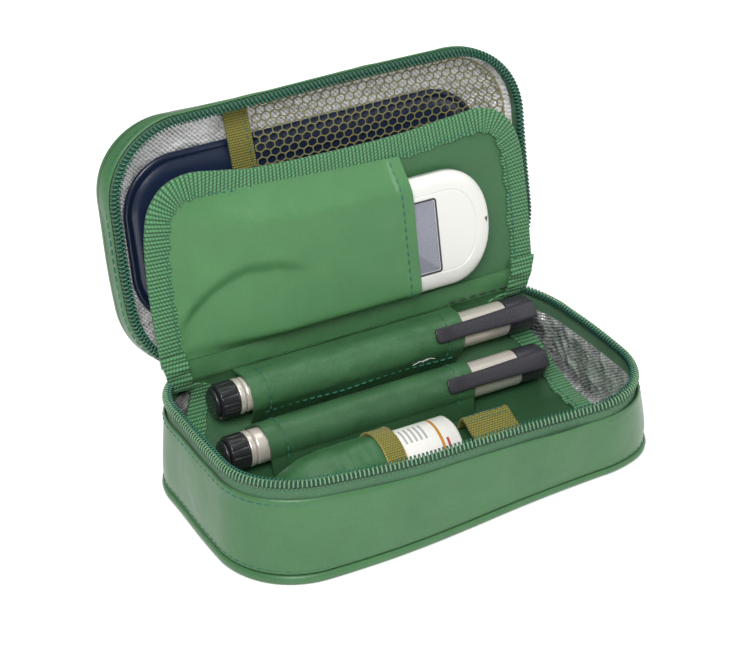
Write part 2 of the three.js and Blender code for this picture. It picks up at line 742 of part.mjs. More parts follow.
function buildSleeves() {
  const inward = radians(PEN_SLOPE - QUARTER_TURN);
  const rise = LOWER_RADIUS - LOWER_THICKNESS / 2 - SEAT - SLEEVE_THICKNESS;
  const spread = SLEEVE_THICKNESS + SEAT;
  const along = radians(PEN_SLOPE);
  const middle = [(PEN_BACK.y + PEN_FRONT.y) / 2, (PEN_BACK.z + PEN_FRONT.z) / 2];
  const valley = (side) => [
    middle[0] + rise * Math.cos(inward) + side * spread * Math.cos(along),
    middle[1] + rise * Math.sin(inward) + side * spread * Math.sin(along),
  ];
  const fold = [FOLD_Y - LOWER_THICKNESS, FOLD_Z - LOWER_THICKNESS];
  add(root, 'pen_sleeve_back', sleeve(PEN_BACK, fold, valley(1)), finish(COLOURS.leather, 0.5));
  const [leaveY, leaveZ] = arcLine(PEN_FRONT, LOWER_RADIUS, LOWER_LEAVE_ANGLE, 0, 1)[0];
  const lift = LOWER_THICKNESS / 2 + SEAT + SLEEVE_THICKNESS / 2;
  const seatZ = leaveZ - (leaveY - SLEEVE_SEAT_Y) / Math.tan(radians(-LOWER_LEAVE_ANGLE)) + lift;
  const front = sleeve(PEN_FRONT, valley(-1), [SLEEVE_SEAT_Y, seatZ]);
  add(root, 'pen_sleeve_front', front, finish(COLOURS.leather, 0.5));
}

// A pen lies along X with its dose knob on the left and its capped needle end on the right
function buildPen(name, place) {
  const pen = new THREE.Group();
  pen.position.set(place.x, place.y, place.z);
  root.add(pen);
  const knobStart = BUTTON_DISC + SEAT;
  const knobEnd = knobStart + KNOB_LENGTH;
  const stemEnd = knobEnd - SEAT;
  add(pen, `${name}_push_button`, turnedAboutX([
    [0, 0], [0, BUTTON_RADIUS - SEAT], [SEAT, BUTTON_RADIUS], [BUTTON_DISC, BUTTON_RADIUS],
    [BUTTON_DISC, BUTTON_STEM_RADIUS], [stemEnd, BUTTON_STEM_RADIUS], [stemEnd, 0],
  ]), finish(COLOURS.black, 0.45));
  add(pen, `${name}_dose_knob`, knob(knobStart), finish(COLOURS.black, 0.45));
  const barrelStart = knobEnd + SEAT;
  add(pen, `${name}_barrel`, turnedAboutX([
    [barrelStart, 0], [barrelStart, BARREL_RADIUS], [BARREL_END, BARREL_RADIUS],
    [BARREL_END, HOLDER_RADIUS], [HOLDER_END, HOLDER_RADIUS], [HOLDER_END, 0],
  ]), finish(COLOURS.silver, 0.35, 0.7));
  const capStart = BARREL_END + SEAT;
  const capEnd = PEN_LENGTH - CAP_END_LENGTH;
  const capSleeve = tubeAlongX(capStart, capEnd, PEN_RADIUS - CAP_WALL, PEN_RADIUS);
  add(pen, `${name}_cap_sleeve`, capSleeve, finish(COLOURS.silver, 0.35, 0.7));
  add(pen, `${name}_cap_clip`, capClip(capEnd + SEAT), finish(COLOURS.black, 0.4));
}

function knob(start) {
  const shape = new THREE.Shape(Array.from({ length: KNOB_RIBS * KNOB_RIB_POINTS }, (_, index) => {
    const inGroove = index % KNOB_RIB_POINTS > 1;
    const angle = 2 * Math.PI * index / (KNOB_RIBS * KNOB_RIB_POINTS);
    const radius = inGroove ? PEN_RADIUS - KNOB_GROOVE : PEN_RADIUS;
    return new THREE.Vector2(radius * Math.cos(angle), radius * Math.sin(angle));
  }));
  const bore = new THREE.Path();
  bore.absarc(0, 0, BUTTON_STEM_RADIUS + SEAT, 0, 2 * Math.PI, true);
  shape.holes.push(bore);
  return alongX(plate(shape, KNOB_LENGTH), start);
}

function capClip(start) {
  const end = PEN_LENGTH;
  const plug = turnedAboutX([
    [start, 0], [start, PEN_RADIUS], [end - CAP_ROUND, PEN_RADIUS], [end, PEN_RADIUS - CAP_ROUND], [end, 0],
  ]);
  const inner = PEN_RADIUS + SLEEVE_GAP + SLEEVE_THICKNESS + CLIP_GAP;
  const outer = inner + CLIP_THICKNESS;
  const half = CLIP_WIDTH / 2;
  const arm = boxBetween([end - CLIP_LENGTH, -half, inner], [end - CAP_ROUND, half, outer]);
  const post = boxBetween([end - CLIP_ROOT, -half, 0], [end - CAP_ROUND, half, outer - CLIP_THICKNESS / 2]);
  const lean = radians(QUARTER_TURN - CLIP_ANGLE);
  return join(plug, arm.rotateX(lean), post.rotateX(lean));
}

// Test strip bottle in its gathered pouch
function buildVial() {
  const vial = new THREE.Group();
  vial.position.set(0, VIAL_Y, VIAL_Z);
  root.add(vial);
  add(vial, 'vial_body', turnedAboutX([
    [VIAL_LEFT, 0], [VIAL_LEFT, VIAL_RADIUS], [VIAL_RIGHT - VIAL_ROUND, VIAL_RADIUS],
    [VIAL_RIGHT, VIAL_RADIUS - VIAL_ROUND], [VIAL_RIGHT, 0],
  ]), finish(COLOURS.white, 0.4));
  const capRight = VIAL_LEFT - SEAT;
  const capLeft = capRight - VIAL_CAP_LENGTH;
  add(vial, 'vial_cap', turnedAboutX([
    [capLeft, 0], [capLeft, VIAL_RADIUS - VIAL_ROUND], [capLeft + VIAL_ROUND, VIAL_RADIUS],
    [capRight, VIAL_RADIUS], [capRight, 0],
  ]), finish(COLOURS.white, 0.4));
  const inner = VIAL_RADIUS + SEAT;
  const outer = inner + LABEL_THICKNESS;
  add(vial, 'vial_label', tubeAlongX(LABEL_LEFT, LABEL_RIGHT, inner, outer), finish(COLOURS.label, 0.5));

  const mouth = outer + SEAT;
  const section = (x, inset) => {
    const toTip = THREE.MathUtils.clamp((POUCH_LEFT + POUCH_TAPER - x) / POUCH_TAPER, 0, 1);
    const behindBand = x - POUCH_MOUTH + BAND_WIDTH;
    const gathered = behindBand / (POUCH_LEFT - POUCH_MOUTH + BAND_WIDTH);
    const pleat = POUCH_PLEAT_DEPTH * Math.sin(Math.PI * gathered);
    const room = mouth + POUCH_THICKNESS - inset;
    return Array.from({ length: POUCH_SIDES }, (_, side) => {
      const angle = 2 * Math.PI * side / POUCH_SIDES;
      const fold = Math.max(pleat, 0) * (1 - Math.cos(POUCH_PLEATS * angle)) * Math.max(Math.sin(angle), 0);
      const wide = mix(room, POUCH_TIP_HALF_WIDTH - inset, toTip) + fold;
      const tall = mix(room, POUCH_TIP_HALF_HEIGHT - inset, toTip * toTip) + fold;
      const sunk = mix(0, POUCH_TIP_HALF_HEIGHT - mouth - POUCH_THICKNESS, toTip * toTip);
      return [x, wide * Math.cos(angle), sunk + tall * Math.sin(angle)];
    });
  };
  const places = POUCH_PLACE_SHARES.map((share) => POUCH_LEFT + share * POUCH_TAPER);
  const outside = [...places, POUCH_MOUTH - BAND_WIDTH, POUCH_MOUTH].map((x) => section(x, 0));
  const inside = [...places.slice(1), POUCH_MOUTH - BAND_WIDTH, POUCH_MOUTH]
    .reverse()
    .map((x) => section(x, POUCH_THICKNESS));
  add(vial, 'vial_pouch', loft([...outside, ...inside]), finish(COLOURS.leather, 0.5));

  const bandInner = mouth + POUCH_THICKNESS + SEAT;
  const bandOuter = bandInner + BAND_THICKNESS;
  const bandLeft = POUCH_MOUTH - BAND_WIDTH;
  const band = tubeAlongX(bandLeft, POUCH_MOUTH, bandInner, bandOuter);
  add(vial, 'pouch_elastic_band', band, finish(COLOURS.olive, 0.8));
}

// Spare elastic loop on the floor of the organiser
function buildLoop() {
  const seat = FLOOR + LOWER_THICKNESS + SEAT + LOOP_THICKNESS / 2;
  const arch = Array.from({ length: LOOP_STEPS + 1 }, (_, step) => {
    const share = step / LOOP_STEPS;
    const arched = Math.sin(Math.PI * share) ** LOOP_ARCH_SHARE;
    return [mix(LOOP_BACK_Y, LOOP_FRONT_Y, share), seat + LOOP_RISE * arched];
  });
  const slope = LOOP_FLAP / Math.tan(radians(-LOWER_LEAVE_ANGLE));
  const line = [[LOOP_BACK_Y + LOOP_FLAP, seat + slope], ...arch, [LOOP_FRONT_Y - LOOP_FLAP, seat]];
  const loop = plate(ribbon(line, LOOP_THICKNESS), LOOP_RIGHT - LOOP_LEFT);
  add(root, 'elastic_loop', alongX(loop, LOOP_LEFT), finish(COLOURS.olive, 0.8));
}

// Upper leaf, drawn in x along the case, y up the leaf from its fold and z towards its front
function leafShape(inset, foot) {
  const [left, right, top] = [LEAF_LEFT + inset, LEAF_RIGHT - inset, LEAF_HEIGHT - inset];
  const corner = LEAF_CORNER - inset;
  const shape = new THREE.Shape();
  shape.moveTo(left, foot);
  shape.lineTo(right, foot);
  shape.lineTo(right, top - corner);
  shape.absarc(right - corner, top - corner, corner, 0, Math.PI / 2, false);
  shape.lineTo(left + corner, top);
  shape.absarc(left + corner, top - corner, corner, Math.PI / 2, Math.PI, false);
  return shape;
}

function buildUpperLeaf(leaf) {
  const sheet = plate(leafShape(WEBBING_EDGE, LEAF_FOOT), LEAF_THICKNESS, -LEAF_THICKNESS / 2);
  add(leaf, 'organiser_upper_leaf', sheet, finish(COLOURS.leatherInside, 0.5));
  const slot = LEAF_THICKNESS + 2 * SEAT;
  const band = cut(
    plate(leafShape(0, LEAF_FOOT), WEBBING_THICKNESS, -WEBBING_THICKNESS / 2),
    plate(leafShape(WEBBING_WIDTH, LEAF_FOOT - OVERRUN), WEBBING_THICKNESS * 2, -WEBBING_THICKNESS),
    plate(leafShape(WEBBING_EDGE - SEAT, LEAF_FOOT - OVERRUN), slot, -slot / 2),
  );
  add(leaf, 'upper_webbing', band, finish(COLOURS.webbing, 0.8));
}

// Soft strip of the same sheet between the fold and the foot of the upper leaf
function buildFoldStrip() {
  const angle = radians(2 * QUARTER_TURN - LEAF_REST_ANGLE);
  const reach = LEAF_FOOT - SEAT;
  const line = [0, 0.5, 1].map((share) => {
    const along = mix(2 * SEAT, reach, share);
    return [FOLD_Y + along * Math.cos(angle), FOLD_Z + along * Math.sin(angle)];
  });
  const strip = plate(ribbon(line, LEAF_THICKNESS), 2 * FOLD_STRIP_HALF_LENGTH);
  alongX(strip, -FOLD_STRIP_HALF_LENGTH);
  add(root, 'organiser_fold_strip', strip, finish(COLOURS.leatherInside, 0.5));
}

// The pocket's top edge follows the webbing round the leaf's corner
function pocketTop(x) {
  const radius = LEAF_CORNER - WEBBING_WIDTH - 2 * SEAT;
  const reach = Math.max(LEAF_LEFT + LEAF_CORNER - x, 0);
  return LEAF_HEIGHT - LEAF_CORNER + Math.sqrt(Math.max(radius * radius - reach * reach, 0)) - SEAT;
}

// Pocket sheet over the left part of the meter, open towards the right
function buildMeterPocket(leaf) {
  const seat = LEAF_THICKNESS / 2 + SEAT;
  const reach = METER_THICKNESS + 2 * SEAT;
  const rise = (distance, run) => Math.sin(Math.PI / 2 * THREE.MathUtils.clamp(distance / run, 0, 1));
  const depth = (x, u) => {
    const fromLeft = rise(x - POCKET_LEFT, POCKET_SLOPE_RUN);
    const fromTop = rise(pocketTop(x) - u, POCKET_TOP_RUN);
    const fromFoot = rise(u - POCKET_FOOT, POCKET_FOOT_RUN);
    return seat + POCKET_LIFT + (reach - POCKET_LIFT) * fromLeft * fromTop * fromFoot;
  };
  const xs = Array.from({ length: POCKET_STEPS + 1 }, (_, step) => (
    mix(POCKET_LEFT, POCKET_MOUTH, step / POCKET_STEPS)));
  const loops = xs.map((x) => {
    const footRows = POCKET_ROW_SHARES.map((share) => POCKET_FOOT + share * POCKET_FOOT_RUN);
    const topRows = POCKET_ROW_SHARES.map((share) => pocketTop(x) - share * POCKET_TOP_RUN).reverse();
    const us = [...footRows, ...topRows];
    return [
      ...us.map((u) => [x, u, depth(x, u) + POCKET_THICKNESS]),
      ...us.map((u) => [x, u, depth(x, u)]).reverse(),
    ];
  });
  add(leaf, 'meter_pocket', loftStrips(loops), finish(COLOURS.leather, 0.5));
}

// A loft whose end loops are long folded strips: they are capped by matching opposite points
function loftStrips(loops) {
  const sides = loops[0].length;
  const points = loops.flat();
  const faces = [];
  for (let row = 0; row < loops.length - 1; row += 1) {
    for (let side = 0; side < sides; side += 1) {
      const after = (side + 1) % sides;
      const [a, b] = [row * sides + side, row * sides + after];
      const [c, d] = [(row + 1) * sides + after, (row + 1) * sides + side];
      faces.push([a, b, c], [a, c, d]);
    }
  }
  const end = (loops.length - 1) * sides;
  for (let side = 0; side < sides / 2 - 1; side += 1) {
    const [a, b] = [side, side + 1];
    const [c, d] = [sides - 2 - side, sides - 1 - side];
    faces.push([a, c, b], [a, d, c]);
    faces.push([end + a, end + b, end + c], [end + a, end + c, end + d]);
  }
  return meshFrom(points, faces);
}

// Meter: two shells that meet at a split line, a sunk display, two keys and a strip port
function meterRing(inset, height) {
  const half = METER_STEPS;
  const end = (centre, side) => Array.from({ length: half + 1 }, (_, step) => {
    const angle = radians(mix(-QUARTER_TURN, QUARTER_TURN, step / half));
    return [
      centre + side * (METER_END_RUN - inset) * Math.cos(angle),
      METER_MIDDLE + side * (METER_HALF_WIDTH - inset) * Math.sin(angle),
      height,
    ];
  });
  return [...end(METER_RIGHT - METER_END_RUN, 1), ...end(METER_LEFT + METER_END_RUN, -1)];
}

function disc(place, radius, low, high) {
  const cylinder = new THREE.CylinderGeometry(radius, radius, high - low, PEN_SIDES);
  return cylinder.rotateX(Math.PI / 2).translate(place.x, place.u, (low + high) / 2);
}

function buildMeter(leaf) {
  const back = LEAF_THICKNESS / 2 + SEAT;
  const split = back + METER_SPLIT;
  const face = back + METER_THICKNESS;
  const frontStart = split + SEAT;
  const portMiddle = split + SEAT / 2;
  const portRoom = PORT_HEIGHT / 2 + SEAT;
  const portCut = boxBetween(
    [METER_RIGHT - PORT_LENGTH - SEAT, METER_MIDDLE - PORT_WIDTH / 2 - SEAT, portMiddle - portRoom],
    [METER_RIGHT + OVERRUN, METER_MIDDLE + PORT_WIDTH / 2 + SEAT, portMiddle + portRoom],
  );
  const rear = loft([
    ...METER_REAR_SHARES.map(([inset, rise]) => meterRing(inset * METER_EDGE, back + rise * METER_SPLIT)),
    meterRing(0, split),
  ]);
  add(leaf, 'meter_rear_cover', cut(rear, portCut), finish(COLOURS.white, 0.4));

  const front = loft([
    meterRing(0, frontStart),
    ...METER_FRONT_SHARES.map(([inset, rise]) => meterRing(inset * METER_EDGE, mix(frontStart, face, rise))),
  ]);
  const screenCut = boxBetween(
    [SCREEN_LEFT, METER_MIDDLE - SCREEN_HALF_WIDTH, face - SCREEN_DEPTH],
    [SCREEN_RIGHT, METER_MIDDLE + SCREEN_HALF_WIDTH, face + OVERRUN],
  );
  const keyCuts = [MAIN_KEY, SMALL_KEY].map((key) => (
    disc(key, key.radius + KEY_CLEARANCE, face - KEY_HOLE_DEPTH, face + OVERRUN)));
  add(leaf, 'meter_front_cover', cut(front, portCut, screenCut, ...keyCuts), finish(COLOURS.white, 0.35));

  const lcdLow = face - SCREEN_DEPTH + SEAT;
  const panel = (low, thickness) => boxBetween(
    [SCREEN_LEFT + SEAT, METER_MIDDLE - SCREEN_HALF_WIDTH + SEAT, low],
    [SCREEN_RIGHT - SEAT, METER_MIDDLE + SCREEN_HALF_WIDTH - SEAT, low + thickness],
  );
  add(leaf, 'meter_display', panel(lcdLow, LCD_THICKNESS), finish(COLOURS.grey, 0.3));
  const lens = panel(lcdLow + LCD_THICKNESS + SEAT, LENS_THICKNESS);
  add(leaf, 'meter_screen_lens', lens, finish(COLOURS.grey, 0.1));

  const keyLow = face - KEY_HOLE_DEPTH + KEY_TRAVEL + SEAT;
  add(leaf, 'meter_main_key', disc(MAIN_KEY, MAIN_KEY.radius, keyLow, face), finish(COLOURS.grey, 0.4));
  add(leaf, 'meter_memory_key', disc(SMALL_KEY, SMALL_KEY.radius, keyLow, face), finish(COLOURS.grey, 0.4));

  const socket = boxBetween(
    [METER_RIGHT - PORT_LENGTH, METER_MIDDLE - PORT_WIDTH / 2, portMiddle - PORT_HEIGHT / 2],
    [METER_RIGHT - SEAT, METER_MIDDLE + PORT_WIDTH / 2, portMiddle + PORT_HEIGHT / 2],
  );
  const slit = boxBetween(
    [METER_RIGHT - PORT_LENGTH / 2, METER_MIDDLE - PORT_SLIT_WIDTH / 2, portMiddle - PORT_SLIT / 2],
    [METER_RIGHT + OVERRUN, METER_MIDDLE + PORT_SLIT_WIDTH / 2, portMiddle + PORT_SLIT / 2],
  );
  add(leaf, 'meter_strip_port', cut(socket, slit), finish(COLOURS.black, 0.5));
}

// Leather strip up the back of the base and under the lid's hinge side
function buildHingeStrip() {
  const wallY = FOOT.halfDepth + SEAT + LEATHER / 2;
  const lidEdge = new THREE.Vector3(0, RIM.halfDepth - LID_AXIS_Y, LID_RIM - LID_AXIS_Z);
  lidEdge.applyAxisAngle(new THREE.Vector3(1, 0, 0), radians(-LID_OPEN_ANGLE));
  const underLid = LID_AXIS_Z + lidEdge.z - SEAT - LEATHER / 2 - SEAT / 2;
  const bendCentre = { y: wallY + HINGE_BEND, z: underLid - HINGE_BEND };
  const bend = arcLine(bendCentre, HINGE_BEND, 2 * QUARTER_TURN, QUARTER_TURN, HINGE_STEPS);
  const line = [[wallY, underLid - HINGE_DROP], ...bend, [wallY + HINGE_REACH, underLid]];
  const strip = plate(ribbon(line, LEATHER), 2 * HINGE_HALF_LENGTH);
  add(root, 'hinge_strip', alongX(strip, -HINGE_HALF_LENGTH), finish(COLOURS.leather, 0.5));
}

// A slider at each end of the base's row of teeth, with a pull hanging outside the wall
function buildSlider(side) {
  const word = side > 0 ? 'right' : 'left';
  const halfTurn = THREE.MathUtils.radToDeg((SLIDER_LENGTH / 2 + SEAT) / (RIM.corner - SLIDER_WIDTH));
  const angle = radians(QUARTER_TURN - side * (ZIP_END_ANGLE - halfTurn));
  const slider = new THREE.Group();
  slider.position.set(side * (RIM.halfLength - RIM.corner), RIM.halfDepth - RIM.corner, BASE_HEIGHT + SEAT);
  slider.rotation.z = angle;
  root.add(slider);
  const outer = RIM.corner - SEAT;
  const half = SLIDER_LENGTH / 2;
  const body = new THREE.Shape();
  body.moveTo(outer - SLIDER_WIDTH, -half);
  body.lineTo(outer, -half * SLIDER_NOSE_SHARE);
  body.lineTo(outer, half * SLIDER_NOSE_SHARE);
  body.lineTo(outer - SLIDER_WIDTH, half);
  add(slider, `zip_slider_${word}`, plate(body, SLIDER_HEIGHT), finish(COLOURS.zip, 0.4, 0.4));

  const top = SLIDER_HEIGHT - SEAT - PULL_THICKNESS;
  const tab = new THREE.Shape();
  const halfTab = PULL_WIDTH / 2;
  tab.moveTo(-halfTab * SLIDER_NOSE_SHARE, 0);
  tab.lineTo(-halfTab, -PULL_LENGTH + halfTab);
  tab.absarc(0, -PULL_LENGTH + halfTab, halfTab, Math.PI, 2 * Math.PI, false);
  tab.lineTo(halfTab * SLIDER_NOSE_SHARE, 0);
  const eye = new THREE.Path();
  eye.absarc(0, -PULL_EYE, PULL_EYE / 2, 0, 2 * Math.PI, true);
  tab.holes.push(eye);
  const wall = RIM.corner + FOOT_FLARE.halfLength - SEAT;
  const pull = alongX(plate(tab, PULL_THICKNESS), wall).translate(0, 0, top);
  add(slider, `zip_pull_${word}`, pull, finish(COLOURS.zip, 0.4, 0.4));
}

buildBase();
buildZip(root, 'base', baseOutline, BASE_HEIGHT, TAPE_DEPTH, 1);
buildHingeStrip();
buildLowerLeaf();
buildSleeves();
buildPen('pen_back', PEN_BACK);
buildPen('pen_front', PEN_FRONT);
buildVial();
buildLoop();
buildFoldStrip();
buildSlider(1);
buildSlider(-1);

const hinge = new THREE.Group();
hinge.position.set(0, LID_AXIS_Y, LID_AXIS_Z);
hinge.rotation.x = radians(-LID_OPEN_ANGLE);
root.add(hinge);
const lid = new THREE.Group();
lid.position.set(0, -LID_AXIS_Y, -LID_AXIS_Z);
hinge.add(lid);
buildLid(lid);
buildZip(lid, 'lid', lidOutline, LID_RIM, LID_TAPE_DEPTH, -1);
buildNet(lid);
buildGelPack(lid);

const upperLeaf = new THREE.Group();
upperLeaf.position.set(0, FOLD_Y, FOLD_Z);
upperLeaf.rotation.x = radians(2 * QUARTER_TURN - LEAF_REST_ANGLE);
root.add(upperLeaf);
buildUpperLeaf(upperLeaf);
buildMeterPocket(upperLeaf);
buildMeter(upperLeaf);

export default root;
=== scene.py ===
"""An open insulin cooling case: a green leather base and lid with two pens, a glucose meter, a vial
and a cold pack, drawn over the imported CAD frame. Shapes are worked out in millimetres."""
import math

import bmesh
import bpy
import numpy as np
from mathutils import Matrix


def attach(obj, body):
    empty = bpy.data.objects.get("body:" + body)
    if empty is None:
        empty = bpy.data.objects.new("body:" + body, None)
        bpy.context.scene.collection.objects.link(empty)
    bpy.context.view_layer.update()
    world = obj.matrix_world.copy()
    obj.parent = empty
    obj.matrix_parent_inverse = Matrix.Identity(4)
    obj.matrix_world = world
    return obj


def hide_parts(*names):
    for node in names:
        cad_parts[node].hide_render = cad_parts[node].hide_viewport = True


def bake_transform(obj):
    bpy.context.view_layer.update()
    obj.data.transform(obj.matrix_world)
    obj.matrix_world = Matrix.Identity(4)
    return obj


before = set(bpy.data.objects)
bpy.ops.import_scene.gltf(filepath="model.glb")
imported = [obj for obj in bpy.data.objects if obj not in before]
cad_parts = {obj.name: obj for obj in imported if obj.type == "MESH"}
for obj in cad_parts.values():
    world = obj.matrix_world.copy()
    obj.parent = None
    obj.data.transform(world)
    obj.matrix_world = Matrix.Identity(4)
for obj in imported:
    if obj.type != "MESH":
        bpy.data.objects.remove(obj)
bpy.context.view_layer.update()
MM = 0.001

# The case's dimensions
# Rounded rectangle of the rim: straight sides and quarter-circle corners, walked by its length t,
# which starts at the middle of the right side and turns towards the back
HALF_LONG, HALF_DEEP, CORNER = 103.0, 60.0, 37.0
QUARTER = CORNER * math.pi / 2
BREAKS = np.cumsum([0, 23, QUARTER, 132, QUARTER, 46, QUARTER, 132, QUARTER, 23])
LOOP = float(BREAKS[-1])
FOOT_LONG, FOOT_DEEP, FOOT_CORNER = 104.8, 60.8, 34.0
BASE_TOP, LID_RIM, LID_BACK = 41.8, 54.2, 66.2
BACK_LONG, BACK_DEEP, BACK_CORNER = 104.2, 58.5, 33.0
HINGE_Y, HINGE_Z, LID_TURN = 53.9, 50.0, math.radians(97.6)
FOLD_Y, FOLD_Z, LEAF_TURN = 47.5, 45.5, math.radians(82.0)
ZIP_FROM, ZIP_TO = 235.7, LOOP + 58.5
PEN_BACK = (38.0, 36.2, -76.5)
PEN_FRONT = (20.0, 19.6, -81.0)
LOWER_RADIUS = 10.2
SLEEVE_RADIUS = 9.15
LINING = 0.4
VIAL_Y, VIAL_Z = -27.6, 21.7
# How far the soft wall stands out from the plain rounded rectangle, by t, at the rim and at the foot
RIM_SWAY = ((0, 0.2), (31, -1.4), (64, 0), (90, 0), (205, 0), (230, 0), (246, 0.6), (266, -2.4), (300, -1.6),
            (316, -2.0), (343, -1.3), (366, -1.6), (392, 1.4), (416, 3.0), (440, 2.2), (472, 1.0),
            (504, 0.8), (524, 0.8), (540, 0.4), (552, -0.8), (570, -0.6))
# How far the soft rim hangs below its level, deepest at the right front corner
RIM_DROP = ((0, -5.6), (26, -5.4), (42, -4.4), (56, -1.4), (66, 0), (360, 0), (378, -0.8), (407, -2.6),
            (440, -3.6), (470, -4.8), (496, -6.2), (516, -6.8), (534, -6.6), (552, -6.2), (570, -5.8))
FOOT_SWAY = ((0, 0), (64, 0), (230, 0), (254, -0.4), (274, -1.2), (308, 0.1), (329, -0.8), (344, 0.8),
             (356, 1.4), (370, 2.6), (393, 3.6), (416, 3.0), (440, 0.6), (469, -3.0), (496, -4.8),
             (516, -5.4), (530, -3.0), (544, 0.8), (570, 0.4))
LID_SWAY = ((0, -0.4), (26, 0.0), (60, 0), (235, 0), (260, -0.4), (288, 1.4), (313, 0.8), (329, 1.0),
            (345, 0.2), (366, -0.9), (390, -0.9), (413, -0.4), (444, 0.2), (479, 0.4), (515, 0.0),
            (540, 0.2), (570, -0.4))
# How far the lid's back edge is tucked in behind its rim
LID_TUCK = ((0, 1.0), (40, 0), (376, 0), (400, 1.4), (424, 2.6), (450, 3.0), (530, 3.2), (560, 2.4))


def sway(t, table):
    """The table read at t, joined by a line and evened out over 12 mm to each side, once round the rim."""
    rows = np.array(table)
    spots = np.linspace(0, LOOP, 601)
    read = np.interp(spots, rows[:, 0], rows[:, 1], period=LOOP)
    moved = [np.interp(spots + step, spots, read, period=LOOP) for step in np.linspace(-12, 12, 9)]
    return np.interp(np.mod(t, LOOP), spots, np.mean(moved, axis=0))


def rim_point(t, half_long, half_deep, corner, out):
    """Corner centre plus (corner radius + out) along the outward direction; the turn of that direction
    and the corner centre are read from t by straight lines between the breaks."""
    t = np.mod(t, LOOP)
    turn = np.radians(np.interp(t, BREAKS, (0, 0, 90, 90, 180, 180, 270, 270, 360, 360)))
    x = np.interp(t, BREAKS, (1, 1, 1, -1, -1, -1, -1, 1, 1, 1)) * (half_long - corner)
    y = np.interp(t, BREAKS, (0, 1, 1, 1, 1, -1, -1, -1, -1, 0)) * (half_deep - corner)
    return np.stack([x + (corner + out) * np.cos(turn), y + (corner + out) * np.sin(turn)], axis=-1)


def outward(t):
    """Level unit direction that points away from the case at t."""
    turn = np.radians(np.interp(np.mod(t, LOOP), BREAKS, (0, 0, 90, 90, 180, 180, 270, 270, 360, 360)))
    return np.stack([np.cos(turn), np.sin(turn), 0 * turn], axis=-1)


def base_point(t, z, inset):
    """Base wall: the outline runs straight from the foot to the rim, moved out by the sway, less inset."""
    t, z, inset = np.broadcast_arrays(np.asarray(t, float), z, inset)
    up = np.clip(z / BASE_TOP, 0, 1)
    out = sway(t, FOOT_SWAY) * (1 - up) + sway(t, RIM_SWAY) * up - inset
    flat = rim_point(t, FOOT_LONG + (HALF_LONG - FOOT_LONG) * up, FOOT_DEEP + (HALF_DEEP - FOOT_DEEP) * up,
                     FOOT_CORNER + (CORNER - FOOT_CORNER) * up, out)
    return np.concatenate([flat, (z + sway(t, RIM_DROP) * up)[..., None]], axis=-1)


def lid_point(t, z, inset):
    """Closed lid: the outline runs from its rim to its back over 12 mm, with the lid's own sway."""
    t, z, inset = np.broadcast_arrays(np.asarray(t, float), z, inset)
    up = np.clip((z - LID_RIM) / (LID_BACK - LID_RIM), 0, 1)
    flat = rim_point(t, HALF_LONG + (BACK_LONG - HALF_LONG) * up, HALF_DEEP + (BACK_DEEP - HALF_DEEP) * up,
                     CORNER + (BACK_CORNER - CORNER) * up, sway(t, LID_SWAY) - sway(t, LID_TUCK) * up - inset)
    return np.concatenate([flat, z[..., None]], axis=-1)


def opened(points):
    """A place in the closed lid, turned by the open angle about the hinge line."""
    cos, sin = math.cos(LID_TURN), math.sin(LID_TURN)
    y, z = points[..., 1] - HINGE_Y, points[..., 2] - HINGE_Z
    return np.stack([points[..., 0], HINGE_Y + y * cos + z * sin, HINGE_Z - y * sin + z * cos], axis=-1)


def on_leaf(x, u, w):
    """The upper leaf's own place (along, up, out to the front) in the case's frame."""
    x, u, w = np.broadcast_arrays(np.asarray(x, float), u, w)
    cos, sin = math.cos(LEAF_TURN), math.sin(LEAF_TURN)
    return np.stack([x, FOLD_Y + u * cos - w * sin, FOLD_Z + u * sin + w * cos], axis=-1)


def swell(points, size, seed, octaves=3):
    """Soft uneven hills of about -1 to 1: five sine waves of scattered directions and a length of about
    size, and the same again at half the length and half the height for each further octave."""
    rng = np.random.default_rng(seed)
    total = np.zeros(points.shape[:-1])
    for octave in range(octaves):
        ways = rng.normal(size=(5, 3))
        ways *= (2 * math.pi * 2 ** octave / size) / np.linalg.norm(ways, axis=1)[:, None]
        total += np.sin(points @ ways.T + rng.uniform(0, 2 * math.pi, 5)).sum(-1) / 3.2 * 0.5 ** octave
    return total


def smooth(value, low, high):
    """0 below low, 1 above high and 3s^2 - 2s^3 of the share between."""
    share = np.clip((value - low) / (high - low), 0, 1)
    return share * share * (3 - 2 * share)


def curve(points, count):
    """A smooth line through the points (cubic Hermite with neighbour slopes), in count even steps."""
    points = np.array(points, float)
    ends = np.concatenate([2 * points[:1] - points[1:2], points, 2 * points[-1:] - points[-2:-1]])
    slope = (ends[2:] - ends[:-2]) / 2
    at = np.linspace(0, len(points) - 1, 24 * len(points))
    low = np.minimum(at.astype(int), len(points) - 2)
    s = (at - low)[:, None]
    line = ((2 * s ** 3 - 3 * s ** 2 + 1) * points[low] + (s ** 3 - 2 * s ** 2 + s) * slope[low]
            + (3 * s ** 2 - 2 * s ** 3) * points[low + 1] + (s ** 3 - s ** 2) * slope[low + 1])
    return evenly(line, count)


def lengths(line):
    """Length walked along the line at each of its points."""
    return np.concatenate([[0], np.cumsum(np.linalg.norm(np.diff(line, axis=0), axis=1))])


def along(line, at):
    """The line's points at the given lengths along it."""
    walked = lengths(line)
    return np.stack([np.interp(at, walked, line[:, axis]) for axis in range(line.shape[1])], axis=-1)


def evenly(line, count):
    """The same line in count even steps."""
    return along(line, np.linspace(0, lengths(line)[-1], count))


def together(*parts):
    """The parts broadcast to one shape and stacked as the last axis: coordinates, or the two of a UV map."""
    return np.stack(np.broadcast_arrays(*parts), axis=-1)


def unit(vectors):
    """Each vector at length 1; one of no length stays as it is."""
    return vectors / np.maximum(np.linalg.norm(vectors, axis=-1, keepdims=True), 1e-12)


